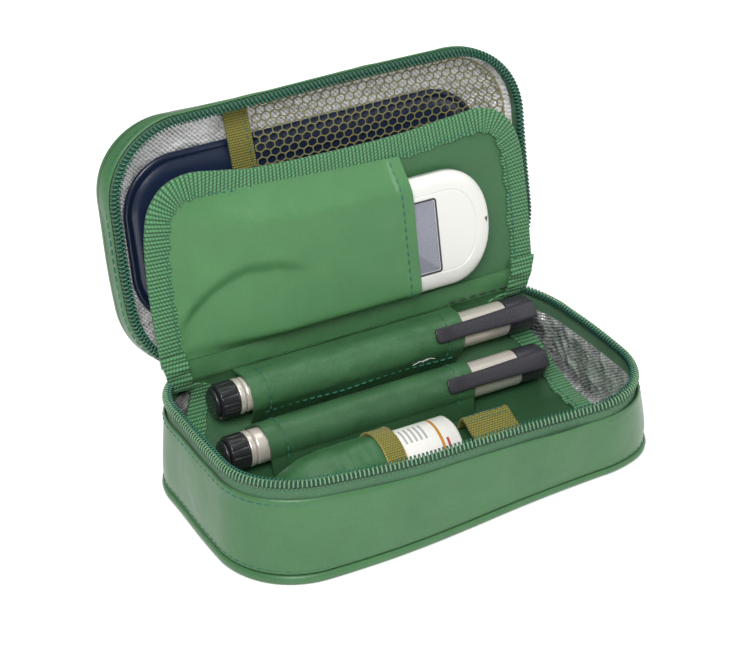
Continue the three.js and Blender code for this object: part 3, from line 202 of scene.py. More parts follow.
# From grids to pieces
def is_ring(grid):
    """Whether the grid's last row is its first one again."""
    return np.allclose(grid[0], grid[-1], atol=1e-6)


def normals(grid):
    """Across each grid point: the cross product of the steps along both ways. The two ends of a ring share
    theirs, and where the last column is one point, its normal is the mean of its neighbours'."""
    along = np.gradient(grid, axis=0)
    if is_ring(grid):
        along[0] = along[-1] = (grid[1] - grid[-2]) / 2
    out = unit(np.cross(along, np.gradient(grid, axis=1)))
    if np.ptp(grid[:, -1], axis=0).max() < 1e-6:
        out[:, -1] = unit(out[:, -3].mean(axis=0))
        out[:, -2] = unit(out[:, -3] + out[:, -1])
    return out


def shell(grid, thick, uv=None, lift=0.0):
    """A sheet with a real thickness: the grid moved out and in by half of it, joined into a loop."""
    out = normals(grid)
    thick = np.broadcast_to(thick, grid.shape[:2])[..., None]
    face, back = grid + out * (lift + thick / 2), grid + out * (lift - thick / 2)
    if uv is None:
        uv = sheet_uv(grid)
    return {"points": np.concatenate([face, back[:, ::-1]], axis=1), "tube": True, "caps": not is_ring(grid),
            "uv": np.concatenate([uv, uv[:, ::-1]], axis=1)}


def sheet_uv(grid):
    """Lengths along the middle of the grid both ways, in millimetres."""
    n, m = grid.shape[:2]
    u = lengths(grid[:, m // 2])
    v = lengths(grid[n // 2])
    return together(u[:, None], v[None, :])


def swept(line, side, up, section, ring=False):
    """A closed section (side, up) carried along a line, with its two directions given once or at each point.
    The section may change along the line."""
    section = np.broadcast_to(section, (len(line),) + np.shape(section)[-2:])
    side, up = np.broadcast_to(side, line.shape), np.broadcast_to(up, line.shape)
    points = line[:, None] + side[:, None] * section[..., :1] + up[:, None] * section[..., 1:]
    uv = together(lengths(line)[:, None], section[..., 0])
    return {"points": points, "tube": True, "caps": not ring, "uv": uv}


def faces_of(n, m, tube, caps):
    """Quads between neighbouring rows; a tube joins its last column to its first, caps close both ends."""
    i = np.arange(n - 1)[:, None] * m
    j = np.arange(m if tube else m - 1)[None, :]
    next_j = (j + 1) % m
    quads = together(i + j, i + next_j, i + m + next_j, i + m + j).reshape(-1, 4)
    if tube and caps:
        k = np.arange(m // 2 - 1)
        end = together(k, k + 1, m - 2 - k, m - 1 - k)
        quads = np.concatenate([quads, end[:, ::-1], end + (n - 1) * m])
    return quads


def piece(name, blocks, finish, body, stands_for=(), crease=50, weld=True):
    """Makes one mesh of several grids (or of many copies of one), with a UV map in metres."""
    places, quads, maps, start = [], [], [], 0
    for block in blocks if isinstance(blocks, list) else [blocks]:
        points = block["points"]
        n, m = points.shape[-3:-1]
        one = faces_of(n, m, block.get("tube", False), block.get("caps", False))
        copies = points.reshape(-1, n * m, 3)
        quads.append((start + np.arange(len(copies))[:, None, None] * n * m + one[None]).reshape(-1, 4))
        flat = np.zeros((len(copies) * n * m, 2)) if block.get("uv") is None else block["uv"].reshape(-1, 2)
        maps.append(np.broadcast_to(flat, (len(copies) * n * m, 2)))
        places.append(copies.reshape(-1, 3))
        start += len(copies) * n * m
    places, quads, maps = np.concatenate(places) * MM, np.concatenate(quads), np.concatenate(maps) * MM
    mesh = bpy.data.meshes.new(name)
    mesh.from_pydata(places.tolist(), [], quads.tolist())
    loops = np.zeros(len(mesh.loops), dtype=np.int32)
    mesh.loops.foreach_get("vertex_index", loops)
    mesh.uv_layers.new(name="cloth").data.foreach_set("uv", maps[loops].astype(np.float32).ravel())
    if weld:
        work = bmesh.new()
        work.from_mesh(mesh)
        bmesh.ops.remove_doubles(work, verts=work.verts, dist=2e-6)
        bmesh.ops.dissolve_degenerate(work, dist=1e-7, edges=work.edges)
        bmesh.ops.recalc_face_normals(work, faces=work.faces)
        work.to_mesh(mesh)
        work.free()
    mesh.polygons.foreach_set("use_smooth", np.ones(len(mesh.polygons), dtype=bool))
    mesh.set_sharp_from_angle(angle=math.radians(crease))
    mesh.materials.append(finish.made)
    made = bpy.data.objects.new(name, mesh)
    bpy.context.collection.objects.link(made)
    if body:
        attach(made, body)
    if stands_for:
        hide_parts(*stands_for)
    return made


def loop_section(corners, rounding, steps=4):
    """A closed polygon with its corners cut round: quadratic curves over the given run at each corner."""
    corners = np.array(corners, float)
    before, after = np.roll(corners, 1, 0), np.roll(corners, -1, 0)
    run = np.minimum(rounding, 0.45 * np.minimum(np.linalg.norm(before - corners, axis=1),
                                                 np.linalg.norm(after - corners, axis=1)))[:, None]
    a, b = corners + unit(before - corners) * run, corners + unit(after - corners) * run
    s = np.linspace(0, 1, steps)[None, :, None]
    bends = (1 - s) ** 2 * a[:, None] + 2 * s * (1 - s) * corners[:, None] + s * s * b[:, None]
    return bends.reshape(-1, 2)


def strip_section(width, thick, rounding=None, steps=4):
    """A flat strip's section, centred, with rounded edges."""
    w, t = width / 2, thick / 2
    return loop_section([(-w, -t), (w, -t), (w, t), (-w, t)], rounding or thick * 0.48, steps)


def tubes(line, sides, radius):
    """Many short tubes at once: lines (count, n, 3), a ring of sides about each point, radius per point.
    One cross direction is as level as the line allows, the other stands square to it."""
    way = unit(np.gradient(line, axis=1))
    up = np.broadcast_to(np.array([0.03, 0.02, 1.0]), way.shape)
    across = unit(np.cross(way, up))
    over = np.cross(across, way)
    turn = np.linspace(0, 2 * math.pi, sides, endpoint=False)
    radius = np.broadcast_to(radius, line.shape[:2])[..., None, None]
    rings = (across[:, :, None] * np.cos(turn)[:, None] + over[:, :, None] * np.sin(turn)[:, None]) * radius
    return {"points": line[:, :, None] + rings, "tube": True, "caps": True}


def dashes(line, out, pitch, long, thick):
    """Stitches: short capsules laid along a line, a pitch apart, arched a little over the surface, which
    out points away from. Their thickness falls off as a half ellipse at both ends."""
    walked = lengths(line)
    count = max(1, int(walked[-1] / pitch))
    middle = (np.arange(count) + 0.5) * walked[-1] / count
    part = np.linspace(-1, 1, 5)
    at = middle[:, None] + part * long / 2
    place, away = along(line, at), unit(along(np.broadcast_to(out, line.shape), at))
    way = unit(along(line, at + 0.2) - along(line, at - 0.2))
    side = np.cross(way, away)
    size = thick * np.sqrt(np.maximum(1 - (0.93 * part) ** 2, 0.05))
    place = place + away * (0.30 * thick * (1 - part ** 2) - 0.05)[None, :, None]
    turn = np.linspace(0, 2 * math.pi, 6, endpoint=False)
    rings = away[:, :, None] * np.cos(turn)[:, None] + side[:, :, None] * np.sin(turn)[:, None]
    return {"points": place[:, :, None] + rings * size[None, :, None, None], "tube": True, "caps": True}


def stitches(name, line, out, sizes, body="base", finish=None):
    """One row of sewing thread; sizes are its pitch, and each stitch's length and thickness."""
    piece(name, dashes(line, out, *sizes), finish or THREAD, body, weld=False)


def turned(profile, centre, sides, ripple=None):
    """A surface of revolution about a line along X: profile of (x, radius), and ripple(x, turn) adds to the
    radius."""
    profile = np.array(profile, float)
    turn = np.linspace(0, 2 * math.pi, sides + 1)
    x, r = np.broadcast_arrays(profile[:, 0][:, None], profile[:, 1][:, None] + 0 * turn)
    if ripple is not None:
        r = r + ripple(x, turn[None, :] + 0 * x) * (r > 0.05)
    points = together(x, centre[0] + r * np.cos(turn), centre[1] + r * np.sin(turn))
    return {"points": points, "uv": together(x, turn * profile[:, 1].max())}


def rounded_profile(corners, rounding, steps=5):
    """An open profile with its inner corners cut round over the given run."""
    corners = np.array(corners, float)
    rows = [corners[:1]]
    for before, corner, after in zip(corners[:-2], corners[1:-1], corners[2:]):
        run = min(rounding, 0.45 * np.linalg.norm(before - corner), 0.45 * np.linalg.norm(after - corner))
        a, b = corner + unit(before - corner) * run, corner + unit(after - corner) * run
        s = np.linspace(0, 1, steps)[:, None]
        rows.append((1 - s) ** 2 * a + 2 * s * (1 - s) * corner + s * s * b)
    return np.concatenate(rows + [corners[-1:]])


# Finishes
def paint(code):
    """A colour written as six hexadecimal digits, as linear red, green, blue and full alpha."""
    share = np.array([int(code[i:i + 2], 16) for i in (0, 2, 4)]) / 255
    linear = np.where(share <= 0.04045, share / 12.92, ((share + 0.055) / 1.055) ** 2.4)
    return (*map(float, linear), 1.0)


class Amount:
    """A number or colour that varies over a surface; arithmetic on it adds Math nodes."""

    def __init__(self, finish, socket):
        self.finish, self.socket = finish, socket

    def _math(self, kind, *values):
        return self.finish.node("ShaderNodeMath", {"operation": kind}, dict(enumerate(values)))

    def __add__(self, other):
        return self._math("ADD", self, other)

    def __sub__(self, other):
        return self._math("SUBTRACT", self, other)

    def __rsub__(self, other):
        return self._math("SUBTRACT", other, self)

    def __mul__(self, other):
        return self._math("MULTIPLY", self, other)

    __radd__, __rmul__ = __add__, __mul__

    def sine(self):
        return self._math("SINE", self)

    def size(self):
        return self._math("ABSOLUTE", self)

    def beyond(self, edge):
        return self._math("GREATER_THAN", self, edge)

    def held(self):
        return self.finish.node("ShaderNodeClamp", {}, {0: self})


class Finish:
    """One material: a Principled shader, whose fixed numbers are set on its own sockets."""

    def __init__(self, name, colour="808080", rough=0.5, metal=0.0, coat=0.0, **fixed):
        self.made = bpy.data.materials.new(name)
        self.made.use_nodes = True
        self.tree = self.made.node_tree
        self.tree.nodes.clear()
        self.shader = self.tree.nodes.new("ShaderNodeBsdfPrincipled")
        end = self.tree.nodes.new("ShaderNodeOutputMaterial")
        self.tree.links.new(self.shader.outputs[0], end.inputs["Surface"])
        values = {"Base Color": paint(colour), "Roughness": rough, "Metallic": metal, "Coat Weight": coat}
        values.update({key.replace("_", " "): value for key, value in fixed.items()})
        for key, value in values.items():
            self.shader.inputs[key].default_value = value

    def node(self, kind, settings, sockets, out=0):
        """Any node: its settings first, then the values or links of its sockets."""
        node = self.tree.nodes.new(kind)
        for key, value in settings.items():
            setattr(node, key, value)
        for key, value in sockets.items():
            if isinstance(value, Amount):
                self.tree.links.new(value.socket, node.inputs[key])
            else:
                node.inputs[key].default_value = value
        return Amount(self, node.outputs[out])

    def place(self):
        """Where on the object, in metres."""
        return self.node("ShaderNodeTexCoord", {}, {}, "Object")

    def cloth(self):
        """Where along and across the cloth, in metres."""
        return self.node("ShaderNodeUVMap", {"uv_map": "cloth"}, {})

    def parts(self, vector):
        split = self.node("ShaderNodeSeparateXYZ", {}, {0: vector})
        return [Amount(self, split.socket.node.outputs[axis]) for axis in range(3)]

    def stretched(self, vector, scale):
        return self.node("ShaderNodeMapping", {}, {"Vector": vector, "Scale": scale})

    def noise(self, vector, size, detail=2.0, rough=0.5):
        return self.node("ShaderNodeTexNoise", {}, {"Vector": vector, "Scale": 1 / size, "Detail": detail,
                                                    "Roughness": rough})

    def cells(self, vector, size, feature="F1"):
        return self.node("ShaderNodeTexVoronoi", {"feature": feature}, {"Vector": vector, "Scale": 1 / size})

    def blend(self, low, high, by):
        low, high = [paint(c) if isinstance(c, str) else c for c in (low, high)]
        return self.node("ShaderNodeMix", {"data_type": "RGBA"}, {0: by, 6: low, 7: high}, 2)

    def give(self, socket, amount):
        self.tree.links.new(amount.socket, self.shader.inputs[socket])

    def relief(self, *layers):
        """Bump nodes one on another, each a height from 0 to 1 and its depth in metres."""
        normal = None
        for height, depth in layers:
            sockets = {"Height": height, "Distance": depth, "Strength": 1.0}
            if normal is not None:
                sockets["Normal"] = normal
            normal = self.node("ShaderNodeBump", {}, sockets)
        self.give("Normal", normal)


def leather(name, dark, light, rough=0.36, grain=0.00007, soft=0.0008, shade_low=False):
    """Smooth soft leather: pebble grain of about 1 mm, fine pores, soft dents, uneven sheen. With shade_low,
    its colour is painted darker towards the tray's floor, below 42 mm: painted shade."""
    f = Finish(name, dark, rough, coat=0.05, Coat_Roughness=0.35, Specular_IOR_Level=0.36)
    where = f.place()
    hills = f.noise(where, 0.020, 2.5)
    patches = f.noise(where, 0.007, 3.0)
    pebbles = f.cells(where, 0.0012)
    pores = f.noise(where, 0.00055, 2.0)
    shade = hills * 0.42 + patches * 0.10 - pebbles * 0.14 + 0.27
    # painted shade: the colour darkens towards the tray's floor, below 42 mm
    if shade_low:
        height = f.parts(where)[2]
        shade = shade * (((height - 0.006) * (1 / 0.036)).held() * 0.75 + 0.25)
    f.give("Base Color", f.blend(dark, light, shade.held()))
    f.give("Roughness", hills * 0.12 + patches * 0.06 + (rough - 0.09))
    f.relief((hills, soft), (patches, soft * 0.10), (pebbles * 0.6 + pores * 0.5, grain))
    return f


def ribbed(name, dark, light, rib=0.0018, rough=0.62, knot=0.0015, depth=0.0005):
    """Woven webbing: ribs across the band, each broken into small knots that step over by half a knot
    from one rib to the next, and fuzz. The colour follows the relief: painted highlights on the ribs and
    knots, painted shade between them, and the fuzz's uneven tone."""
    f = Finish(name, dark, rough, Sheen_Weight=0.12, Sheen_Roughness=0.5, Specular_IOR_Level=0.3)
    u, v, _ = f.parts(f.cloth())
    fuzz = f.noise(f.place(), 0.0006, 3.0)
    ribs = (u * (math.pi / rib)).sine().size()
    knots = (v * (math.pi / knot) + u * (math.pi / rib * 0.5)).sine().size()
    height = ribs * 0.34 + ribs * knots * 0.52 + fuzz * 0.22
    # painted light: lighter on the ribs' and knots' tops, darker in the gaps between them
    f.give("Base Color", f.blend(dark, light, (height * 1.10 - 0.06).held()))
    f.give("Roughness", fuzz * 0.2 + (rough - 0.1))
    f.relief((height, depth))
    return f


def woven(name, dark, light, thread=0.0009, rough=0.7, depth=0.00022):
    """Plain twill cloth: crossed sine threads on the cloth's own lengths."""
    f = Finish(name, dark, rough, Sheen_Weight=0.10, Specular_IOR_Level=0.25)
    u, v, _ = f.parts(f.cloth())
    fuzz = f.noise(f.place(), 0.0005, 3.0)
    a = ((u + v) * (math.pi / thread)).sine().size()
    b = ((u - v) * (math.pi / thread)).sine().size()
    height = a * 0.5 + b * 0.3 + fuzz * 0.3
    f.give("Base Color", f.blend(dark, light, (height * 0.9).held()))
    f.relief((height, depth))
    return f


def foil(name, dark, shift, metal, pitch, bright):
    """Silver insulating lining: bright crumpled foil with a fine diagonal pattern of woven dots. The colour
    runs from the dark tone to white with the crumples, painted highlights on their hills and painted shade in
    their hollows, and shift sets how light it is painted.
    """
    f = Finish(name, "e2e5e6", 0.30, metal=metal, Specular_IOR_Level=0.9)
    where = f.place()
    x, y, z = f.parts(where)
    k = 2 * math.pi / pitch
    up = y * 0.75 + z * 1.15
    dots = ((x * 1.2 + up) * k).sine() * 0.65 + ((x * 0.7 - up) * k).sine() * 0.35
    bold = (dots * 1.2 + 0.5).held()
    crumple = f.noise(where, 0.016, 4.0, 0.62)
    crease = 1.0 - f.cells(where, 0.013, "DISTANCE_TO_EDGE") * 5.0
    # painted light: white on the crumples' hills, the dark tone in their hollows
    f.give("Base Color", f.blend(dark, "ffffff", (crumple * 1.5 + bold * bright + shift).held()))
    f.give("Roughness", crumple * 0.20 + bold * 0.08 + 0.18)
    f.relief((crumple, 0.0046), (crease.held(), 0.0005), (dots, 0.00012))
    return f


def plastic(name, colour, dark, rough=0.35, grain=0.00003, speck=0.0005, **more):
    """Moulded plastic: an even colour with faint flow marks and a fine spark-eroded grain."""
    f = Finish(name, colour, rough, **more)
    where = f.place()
    flow = f.noise(where, 0.03, 2.0)
    fine = f.noise(where, speck, 2.0)
    f.give("Base Color", f.blend(dark, colour, (flow * 0.7 + 0.42).held()))
    f.give("Roughness", flow * 0.10 + fine * 0.08 + (rough - 0.09))
    f.relief((fine, grain))
    return f


def satin(name, dark, light, rough, brush=(1, 14, 14), depth=0.00004, wear=1.0, metal=0.85):
    """Satin metal: fine brushing drawn out one way, and cloudy wear in its gloss."""
    f = Finish(name, light, rough, metal=metal)
    where = f.place()
    lines = f.noise(f.stretched(where, brush), 0.004, 4.0, 0.7)
    cloud = f.noise(where, 0.012, 2.0)
    f.give("Base Color", f.blend(dark, light, (lines * (0.4 * wear) + cloud * 0.5 + 0.1).held()))
    f.give("Roughness", lines * (0.16 * wear) + cloud * 0.10 + (rough - 0.05 - 0.07 * wear))
    f.relief((lines, depth))
    return f


def thread(name, dark, light):
    """Twisted sewing thread: a short diagonal twist and soft sheen."""
    f = Finish(name, dark, 0.55, Sheen_Weight=0.1)
    twist = f.noise(f.place(), 0.0005, 2.0)
    f.give("Base Color", f.blend(dark, light, twist))
    f.relief((twist, 0.0001))
    return f


GREEN = leather("green_leather", "355d3b", "578859")
GREEN_POCKET = leather("green_leather_pocket", "3f6f47", "60945f", rough=0.40, soft=0.0006)
GREEN_INSIDE = leather("green_leather_leaf", "386440", "588a5a", rough=0.38, soft=0.0010)
# leather with painted shade low in the tray, for the lower leaf and the sleeves
GREEN_LOW_SHADE = leather("green_leather_low_shade", "1f4028", "5c9060", rough=0.36, soft=0.0010, shade_low=True)
# a darker copy of the leather, painted shade, for the upper leaf and the vial's pouch
GREEN_SHADED = leather("green_leather_painted_shade", "2a5233", "47794d", rough=0.38, soft=0.0014)
WEBBING = ribbed("green_webbing", "173820", "65a270")
TAPE = woven("zip_tape_cloth", "33573e", "5f8a67")
OLIVE = ribbed("olive_webbing", "3f3f17", "938d40", rib=0.0012, knot=0.0014, depth=0.0003)
ELASTIC = ribbed("olive_elastic", "484719", "989143", rib=0.0010, knot=0.0012, depth=0.0003)
# tray foil: a dark greenish tone and a low shift, painted shade and painted reflection of the green leather
FOIL = foil("silver_lining", "2f3c37", -0.42, 0.45, 0.0020, 0.34)
# lid foil: a lighter, warmer copy, painted light on the lid's shaded inside
LID_FOIL = foil("silver_lining_lid", "6f6a65", -0.24, 0.06, 0.0025, 0.75)
THREAD = thread("teal_thread", "17503f", "2f7d66")
WHITE_THREAD = thread("white_thread", "cfd6d0", "f4f6f2")
GOLD_THREAD = thread("gold_thread", "9a8436", "d6c47c")
BLACK_THREAD = thread("black_thread", "17201c", "3b4a44")
OUTER_COIL = plastic("pale_coil", "729b75", "41664a", 0.34, speck=0.0008)
# the lid's coil: a darker copy of the base's outer coil, painted shade
LID_COIL_SHADED = plastic("lid_coil_painted_shade", "3f7459", "254b3b", 0.32, speck=0.0008)
INNER_COIL = plastic("teal_coil", "2f6b58", "1b493b", 0.36, speck=0.0008)
CORD = woven("coil_core", "1c382b", "315345")
FOAM = plastic("foam_padding", "cfcbb8", "b4b09c", 0.9, grain=0.0003, speck=0.0012)
NET = woven("olive_net", "6f6c45", "b3ae7e", thread=0.0004, depth=0.0001)
GEL = plastic("navy_gel_pack", "1a2741", "101a2e", 0.30, grain=0.00006, speck=0.002, Coat_Weight=0.25,
              Coat_Roughness=0.15)
CASING = plastic("offwhite_casing", "ecebe6", "e0dfd9", 0.24, Coat_Weight=0.3, Coat_Roughness=0.1)
CASING_DARK = plastic("grey_casing", "a9acae", "8f9294", 0.4)
BLACK = plastic("black_plastic", "26282a", "17191a", 0.24, grain=0.00003)
CHARCOAL = plastic("charcoal_plastic", "36353b", "28272c", 0.28)
SILVER = satin("champagne_silver", "cdc5bb", "e9e1d7", 0.30, brush=(1, 2, 2), depth=0.000001, wear=0.1,
               metal=0.4)
ZIP_METAL = satin("zip_metal", "7f8275", "c2c4b6", 0.3)
GLASS = plastic("vial_cream", "e8e6dc", "d9d7cb", 0.2, Coat_Weight=0.4, Coat_Roughness=0.08)


def display_finish():
    """A grey liquid crystal display: lavender grey, a faint fine grid and soft clouds."""
    f = Finish("lcd_grey", "83858f", 0.30, coat=0.2, Coat_Roughness=0.05)
    x, y, z = f.parts(f.place())
    grid = (x * (2 * math.pi / 0.0006)).sine().size() * (z * (2 * math.pi / 0.0006)).sine().size()
    cloud = f.noise(f.place(), 0.02)
    f.give("Base Color", f.blend("777988", "8f919f", (grid * 0.2 + cloud * 0.7).held()))
    f.relief((grid, 0.000002))
    return f


def label_finish():
    """A white paper label with an amber line and plain red and grey bars for the print."""
    f = Finish("paper_label", "f1f0ea", 0.45, coat=0.15)
    along_x, around, _ = f.parts(f.cloth())
    fibre = f.noise(f.place(), 0.0008, 3.0)
    paper = f.blend("e4e2da", "f6f5f1", fibre)
    amber = along_x.beyond(-0.0012) * (1.0 - along_x.beyond(0.0002))
    red = along_x.beyond(0.0016) * (1.0 - along_x.beyond(0.0028)) * (around * 210.0).sine().beyond(0.2)
    bars = (along_x * 2600.0).sine().beyond(0.1) * (around * 330.0).sine().beyond(0.0)
    bars = bars * along_x.beyond(-0.018) * (1.0 - along_x.beyond(-0.0050))
    with_bars = f.blend(paper, "8d8f92", bars * 0.75)
    with_red = f.blend(with_bars, "b8433a", red)
    f.give("Base Color", f.blend(with_red, "c98a2f", amber))
    f.relief((fibre, 0.00003))
    return f


DISPLAY = display_finish()
LABEL = label_finish()
LENS = Finish("clear_lens", "dfe3ea", 0.06, Alpha=0.06, Coat_Weight=0.3, Coat_Roughness=0.02)
DARK_EDGE = plastic("screen_edge", "3b3d48", "2a2c36", 0.3)

# The leather tray
T_RING = np.linspace(0, LOOP, 737)


def rows(profile, at=base_point):
    """The rim walked round (rows) for each (height, inset) of a profile (columns)."""
    profile = np.array(profile, float)
    return at(T_RING[:, None], profile[:, 0][None, :], profile[:, 1][None, :])


def closed_over(grid, shares):
    """More columns that shrink the last ring to the Z axis by the given shares."""
    last = grid[:, -1]
    middle = last.mean(axis=0) * np.array([0, 0, 1])
    more = middle + (last[:, None] - middle) * np.array(shares)[None, :, None]
    return np.concatenate([grid, more], axis=1)


def wall_uv(grid, t):
    """Round the rim and across it, in millimetres."""
    return together(t[:, None], lengths(grid[0])[None, :])


def build_tray():
    heights = np.linspace(5.4, 38.2, 22)
    puff = 0.45 * np.sin(np.pi * (heights - 5) / 37)
    outer = [(4.9, 0.75), (5.0, 0.35)] + list(zip(heights, -puff)) + [(38.7, 0.12), (39.0, 0.5), (38.7, 0.9)]
    inner = [(38.0, 1.0), (34.0, 1.05), (24.0, 1.05), (12.0, 1.0), (5.0, 1.0)]
    grid = rows(outer + inner)
    out = outward(T_RING)[:, None]
    body = smooth(grid[..., 2], 6, 12) * (1 - smooth(grid[..., 2], 34, 38))
    body = body * (np.arange(grid.shape[1]) < len(outer))[None, :]
    soft = 0.60 * swell(grid, 64, 3, 2) + 0.10 * swell(grid * np.array([1, 1, 0.5]), 21, 8, 2)
    grid = grid + out * (body * soft)[..., None]
    wall = {"points": grid, "tube": True, "uv": wall_uv(grid, T_RING)}
    piece("base_wall_leather", wall, GREEN, "base", ["base_side_wall"])

    profile = [(4.5, 0.55), (4.55, 0.1), (4.2, -0.35), (3.4, -0.75), (2.3, -0.85), (1.2, -0.55), (0.45, 0.2),
               (0.05, 1.4), (0.0, 4.0), (0.0, 12.0)]
    under = closed_over(rows(profile), (0.8, 0.6, 0.4, 0.2, 0.0))
    inside = [(4.45, 1.0), (2.6, 0.95), (1.4, 1.4), (1.0, 3.0), (1.0, 12.0)]
    over = closed_over(rows(inside), (0.8, 0.6, 0.4, 0.2, 0.0))
    both = np.concatenate([under[:, ::-1], over], axis=1)
    piece("base_bottom_leather", {"points": both, "uv": wall_uv(both, T_RING)}, GREEN, "base",
          ["base_bottom_panel"])

    # two rows of stitches: below the wall's top edge and above its foot
    for label, z, long, thick in (("edge", 36.6, 3.0, 0.50), ("foot", 6.6, 2.9, 0.26)):
        stitches(f"base_{label}_stitches", base_point(T_RING, z, -0.10), outward(T_RING), (4.1, long, thick))

    pad = rows([(32.6, 2.3), (20, 2.3), (7, 2.3), (4.4, 2.6), (2.9, 3.6), (2.3, 6.0), (2.3, 14.0)])
    pad = closed_over(pad, (0.75, 0.5, 0.25, 0.0))
    made = piece("base_padding", shell(pad, 2.0), FOAM, "base", ["base_foam"])


def build_tray_lining():
    """Foil wall and floor: insets from the wall, then rings that shrink to the middle. The crumples are
    creased hills: one less the size of a swell, squared, higher where the foil is free."""
    floor_z, floor_columns = 3.86, 22
    wall = [(z, 3.85 - 1.05 * max(0.0, z - 33.6) / 3.0) for z in np.linspace(36.6, 8.0, 32)]
    profile = wall + [(6.6, 4.05), (5.2, 4.7), (4.35, 5.9), (3.95, 7.6), (floor_z, 10.0)]
    grid = closed_over(rows(profile), np.linspace(0.96, 0.0, floor_columns))
    level = np.array([z for z, _ in profile] + [floor_z] * floor_columns)[None, :]
    free = smooth(level, 5, 11) * (1 - smooth(level, 30, 35.5))
    crease = (1 - np.abs(swell(grid, 34, 21, 3))) ** 2 * 0.9 + (1 - np.abs(swell(grid, 15, 5, 2))) ** 2 * 0.5
    grid = grid - outward(T_RING)[:, None] * (free * crease * 0.85)[..., None]
    floor = 1 - smooth(level, 4.0, 6.0)
    open_floor = smooth(grid[..., 0], 50, 70) + 0.25
    hills = np.clip(swell(grid, 22, 11, 3) * 0.5 + 0.2, 0, 1)
    grid[..., 2] += floor * hills * np.minimum(open_floor, 1) * 0.45
    made = piece("base_foil_lining", shell(grid, LINING, wall_uv(grid, T_RING)), FOIL, "base",
                 ["base_lining"])
    round(cloth_area(grid), 5)


def cloth_area(grid):
    """Sum of the grid's cells, in square metres, for the cut size of a sheet."""
    a, b = grid[1:, 1:] - grid[:-1, :-1], grid[1:, :-1] - grid[:-1, 1:]
    return float(np.linalg.norm(np.cross(a, b), axis=-1).sum() / 2 * 1e-6)


def coil(at, to_rest, sign, root, body, name, node, lean, outer):
    """A nylon zip coil: arched loops, a pitch apart, in an outer row and an inner darker row, half a pitch
    further on, over a dark core cord. at(t, z, inset) places them; heights count from root, by sign up or
    down. Each row is a line of (inset, height); lean moves its top towards the inside."""
    pitch, skew = 1.95, np.linspace(-0.5, 0.5, 6) * 0.55
    count = int((ZIP_TO - ZIP_FROM) / pitch)
    radius = np.array([[0.30, 0.40, 0.44, 0.44, 0.40, 0.30]])
    outer_row = [(0.35, 0.0), (0.15, 1.5), (0.35 + lean * 0.3, 2.9), (0.95 + lean * 0.5, 3.55),
                 (1.75 + lean * 0.5, 3.2), (2.0 + lean * 0.3, 2.0)]
    inner_row = [(1.6, 1.6), (1.9 + lean * 0.4, 3.0), (2.55 + lean * 0.6, 3.65), (3.2 + lean * 0.6, 3.2),
                 (3.45 + lean * 0.4, 1.8), (3.2, 0.5)]
    for label, row, shift, look, stands_for in (("outer", outer_row, 0.0, outer, [node]),
                                                ("inner", inner_row, 0.5, INNER_COIL, ())):
        t = ZIP_FROM + (np.arange(count) + 0.5 + shift) * pitch
        inset, height = np.array(row).T
        line = to_rest(at(t[:, None] + skew[None, :], root + sign * height[None, :], inset[None, :]))
        piece(f"{name}_{label}_loops", tubes(line, 7, radius), look, body, stands_for, crease=80,
              weld=False)
    t = np.linspace(ZIP_FROM, ZIP_TO, 500)
    middle = to_rest(at(t, root + sign * 1.25, 1.9))
    side = unit(to_rest(at(t, root + sign * 1.25, 2.9)) - middle)
    up = unit(to_rest(at(t, root + sign * 2.25, 1.9)) - middle)
    piece(name + "_core", swept(middle, side, up, strip_section(2.7, 2.3, 0.9)), CORD, body)


def tape(name, at, to_rest, profile, body, node):
    """A woven zip tape: the rim's run at each (height, inset) of its profile, with a fine wave in its free
    edge."""
    t = np.linspace(ZIP_FROM, ZIP_TO, 620)
    profile = np.array(profile, float)
    grid = at(t[:, None], profile[:, 0][None, :], profile[:, 1][None, :])
    free = smooth(np.arange(len(profile)), 1.5, len(profile) - 1.0)[None, :]
    grid = grid - outward(t)[:, None] * (0.25 * free * swell(grid, 30, 17, 2))[..., None]
    made = piece(name, shell(to_rest(grid), 0.8, wall_uv(grid, t)), TAPE, body, [node])


def build_lining_edge():
    """The sewn line that joins the tape and the foil, inside the tray."""
    t = np.linspace(ZIP_FROM, ZIP_TO, 500)
    stitches("base_tape_stitches", base_point(t, 36.0, 2.2), -outward(t), (3.6, 2.6, 0.32))


# The lid
def crown(inset):
    """Height of the lid's back over its edge: 4.5 times the sine of a quarter turn over 27 mm."""
    return 4.5 * np.sin(np.pi / 2 * np.minimum(1, np.maximum(inset, 0) / 27))


def lid_skin(depth, first, dents=0.0):
    """One layer of the lid's back: up its edge from height first, over the rounded edge and the crown,
    depth below the outside; the dents are a swell."""
    edge = LID_BACK - 1.0 - depth
    insets = np.array([1.5, 3.5, 6, 9, 13, 17, 22, 27]) + depth
    profile = [(first, depth), ((first + edge) / 2, depth), (edge - 0.6, depth), (edge + 0.4, depth + 0.25)]
    profile += [(LID_BACK - depth * 1.03 + crown(i - depth) - 0.2, i) for i in insets]
    grid = rows(profile, lid_point)
    grid = closed_over(grid, (0.9, 0.78, 0.64, 0.5, 0.36, 0.22, 0.1, 0.0))
    body = smooth(grid[..., 2], LID_BACK - depth, LID_BACK - depth + 2)
    grid[..., 2] += body * dents * swell(grid, 40, 4, 3)
    return grid, wall_uv(grid, T_RING)


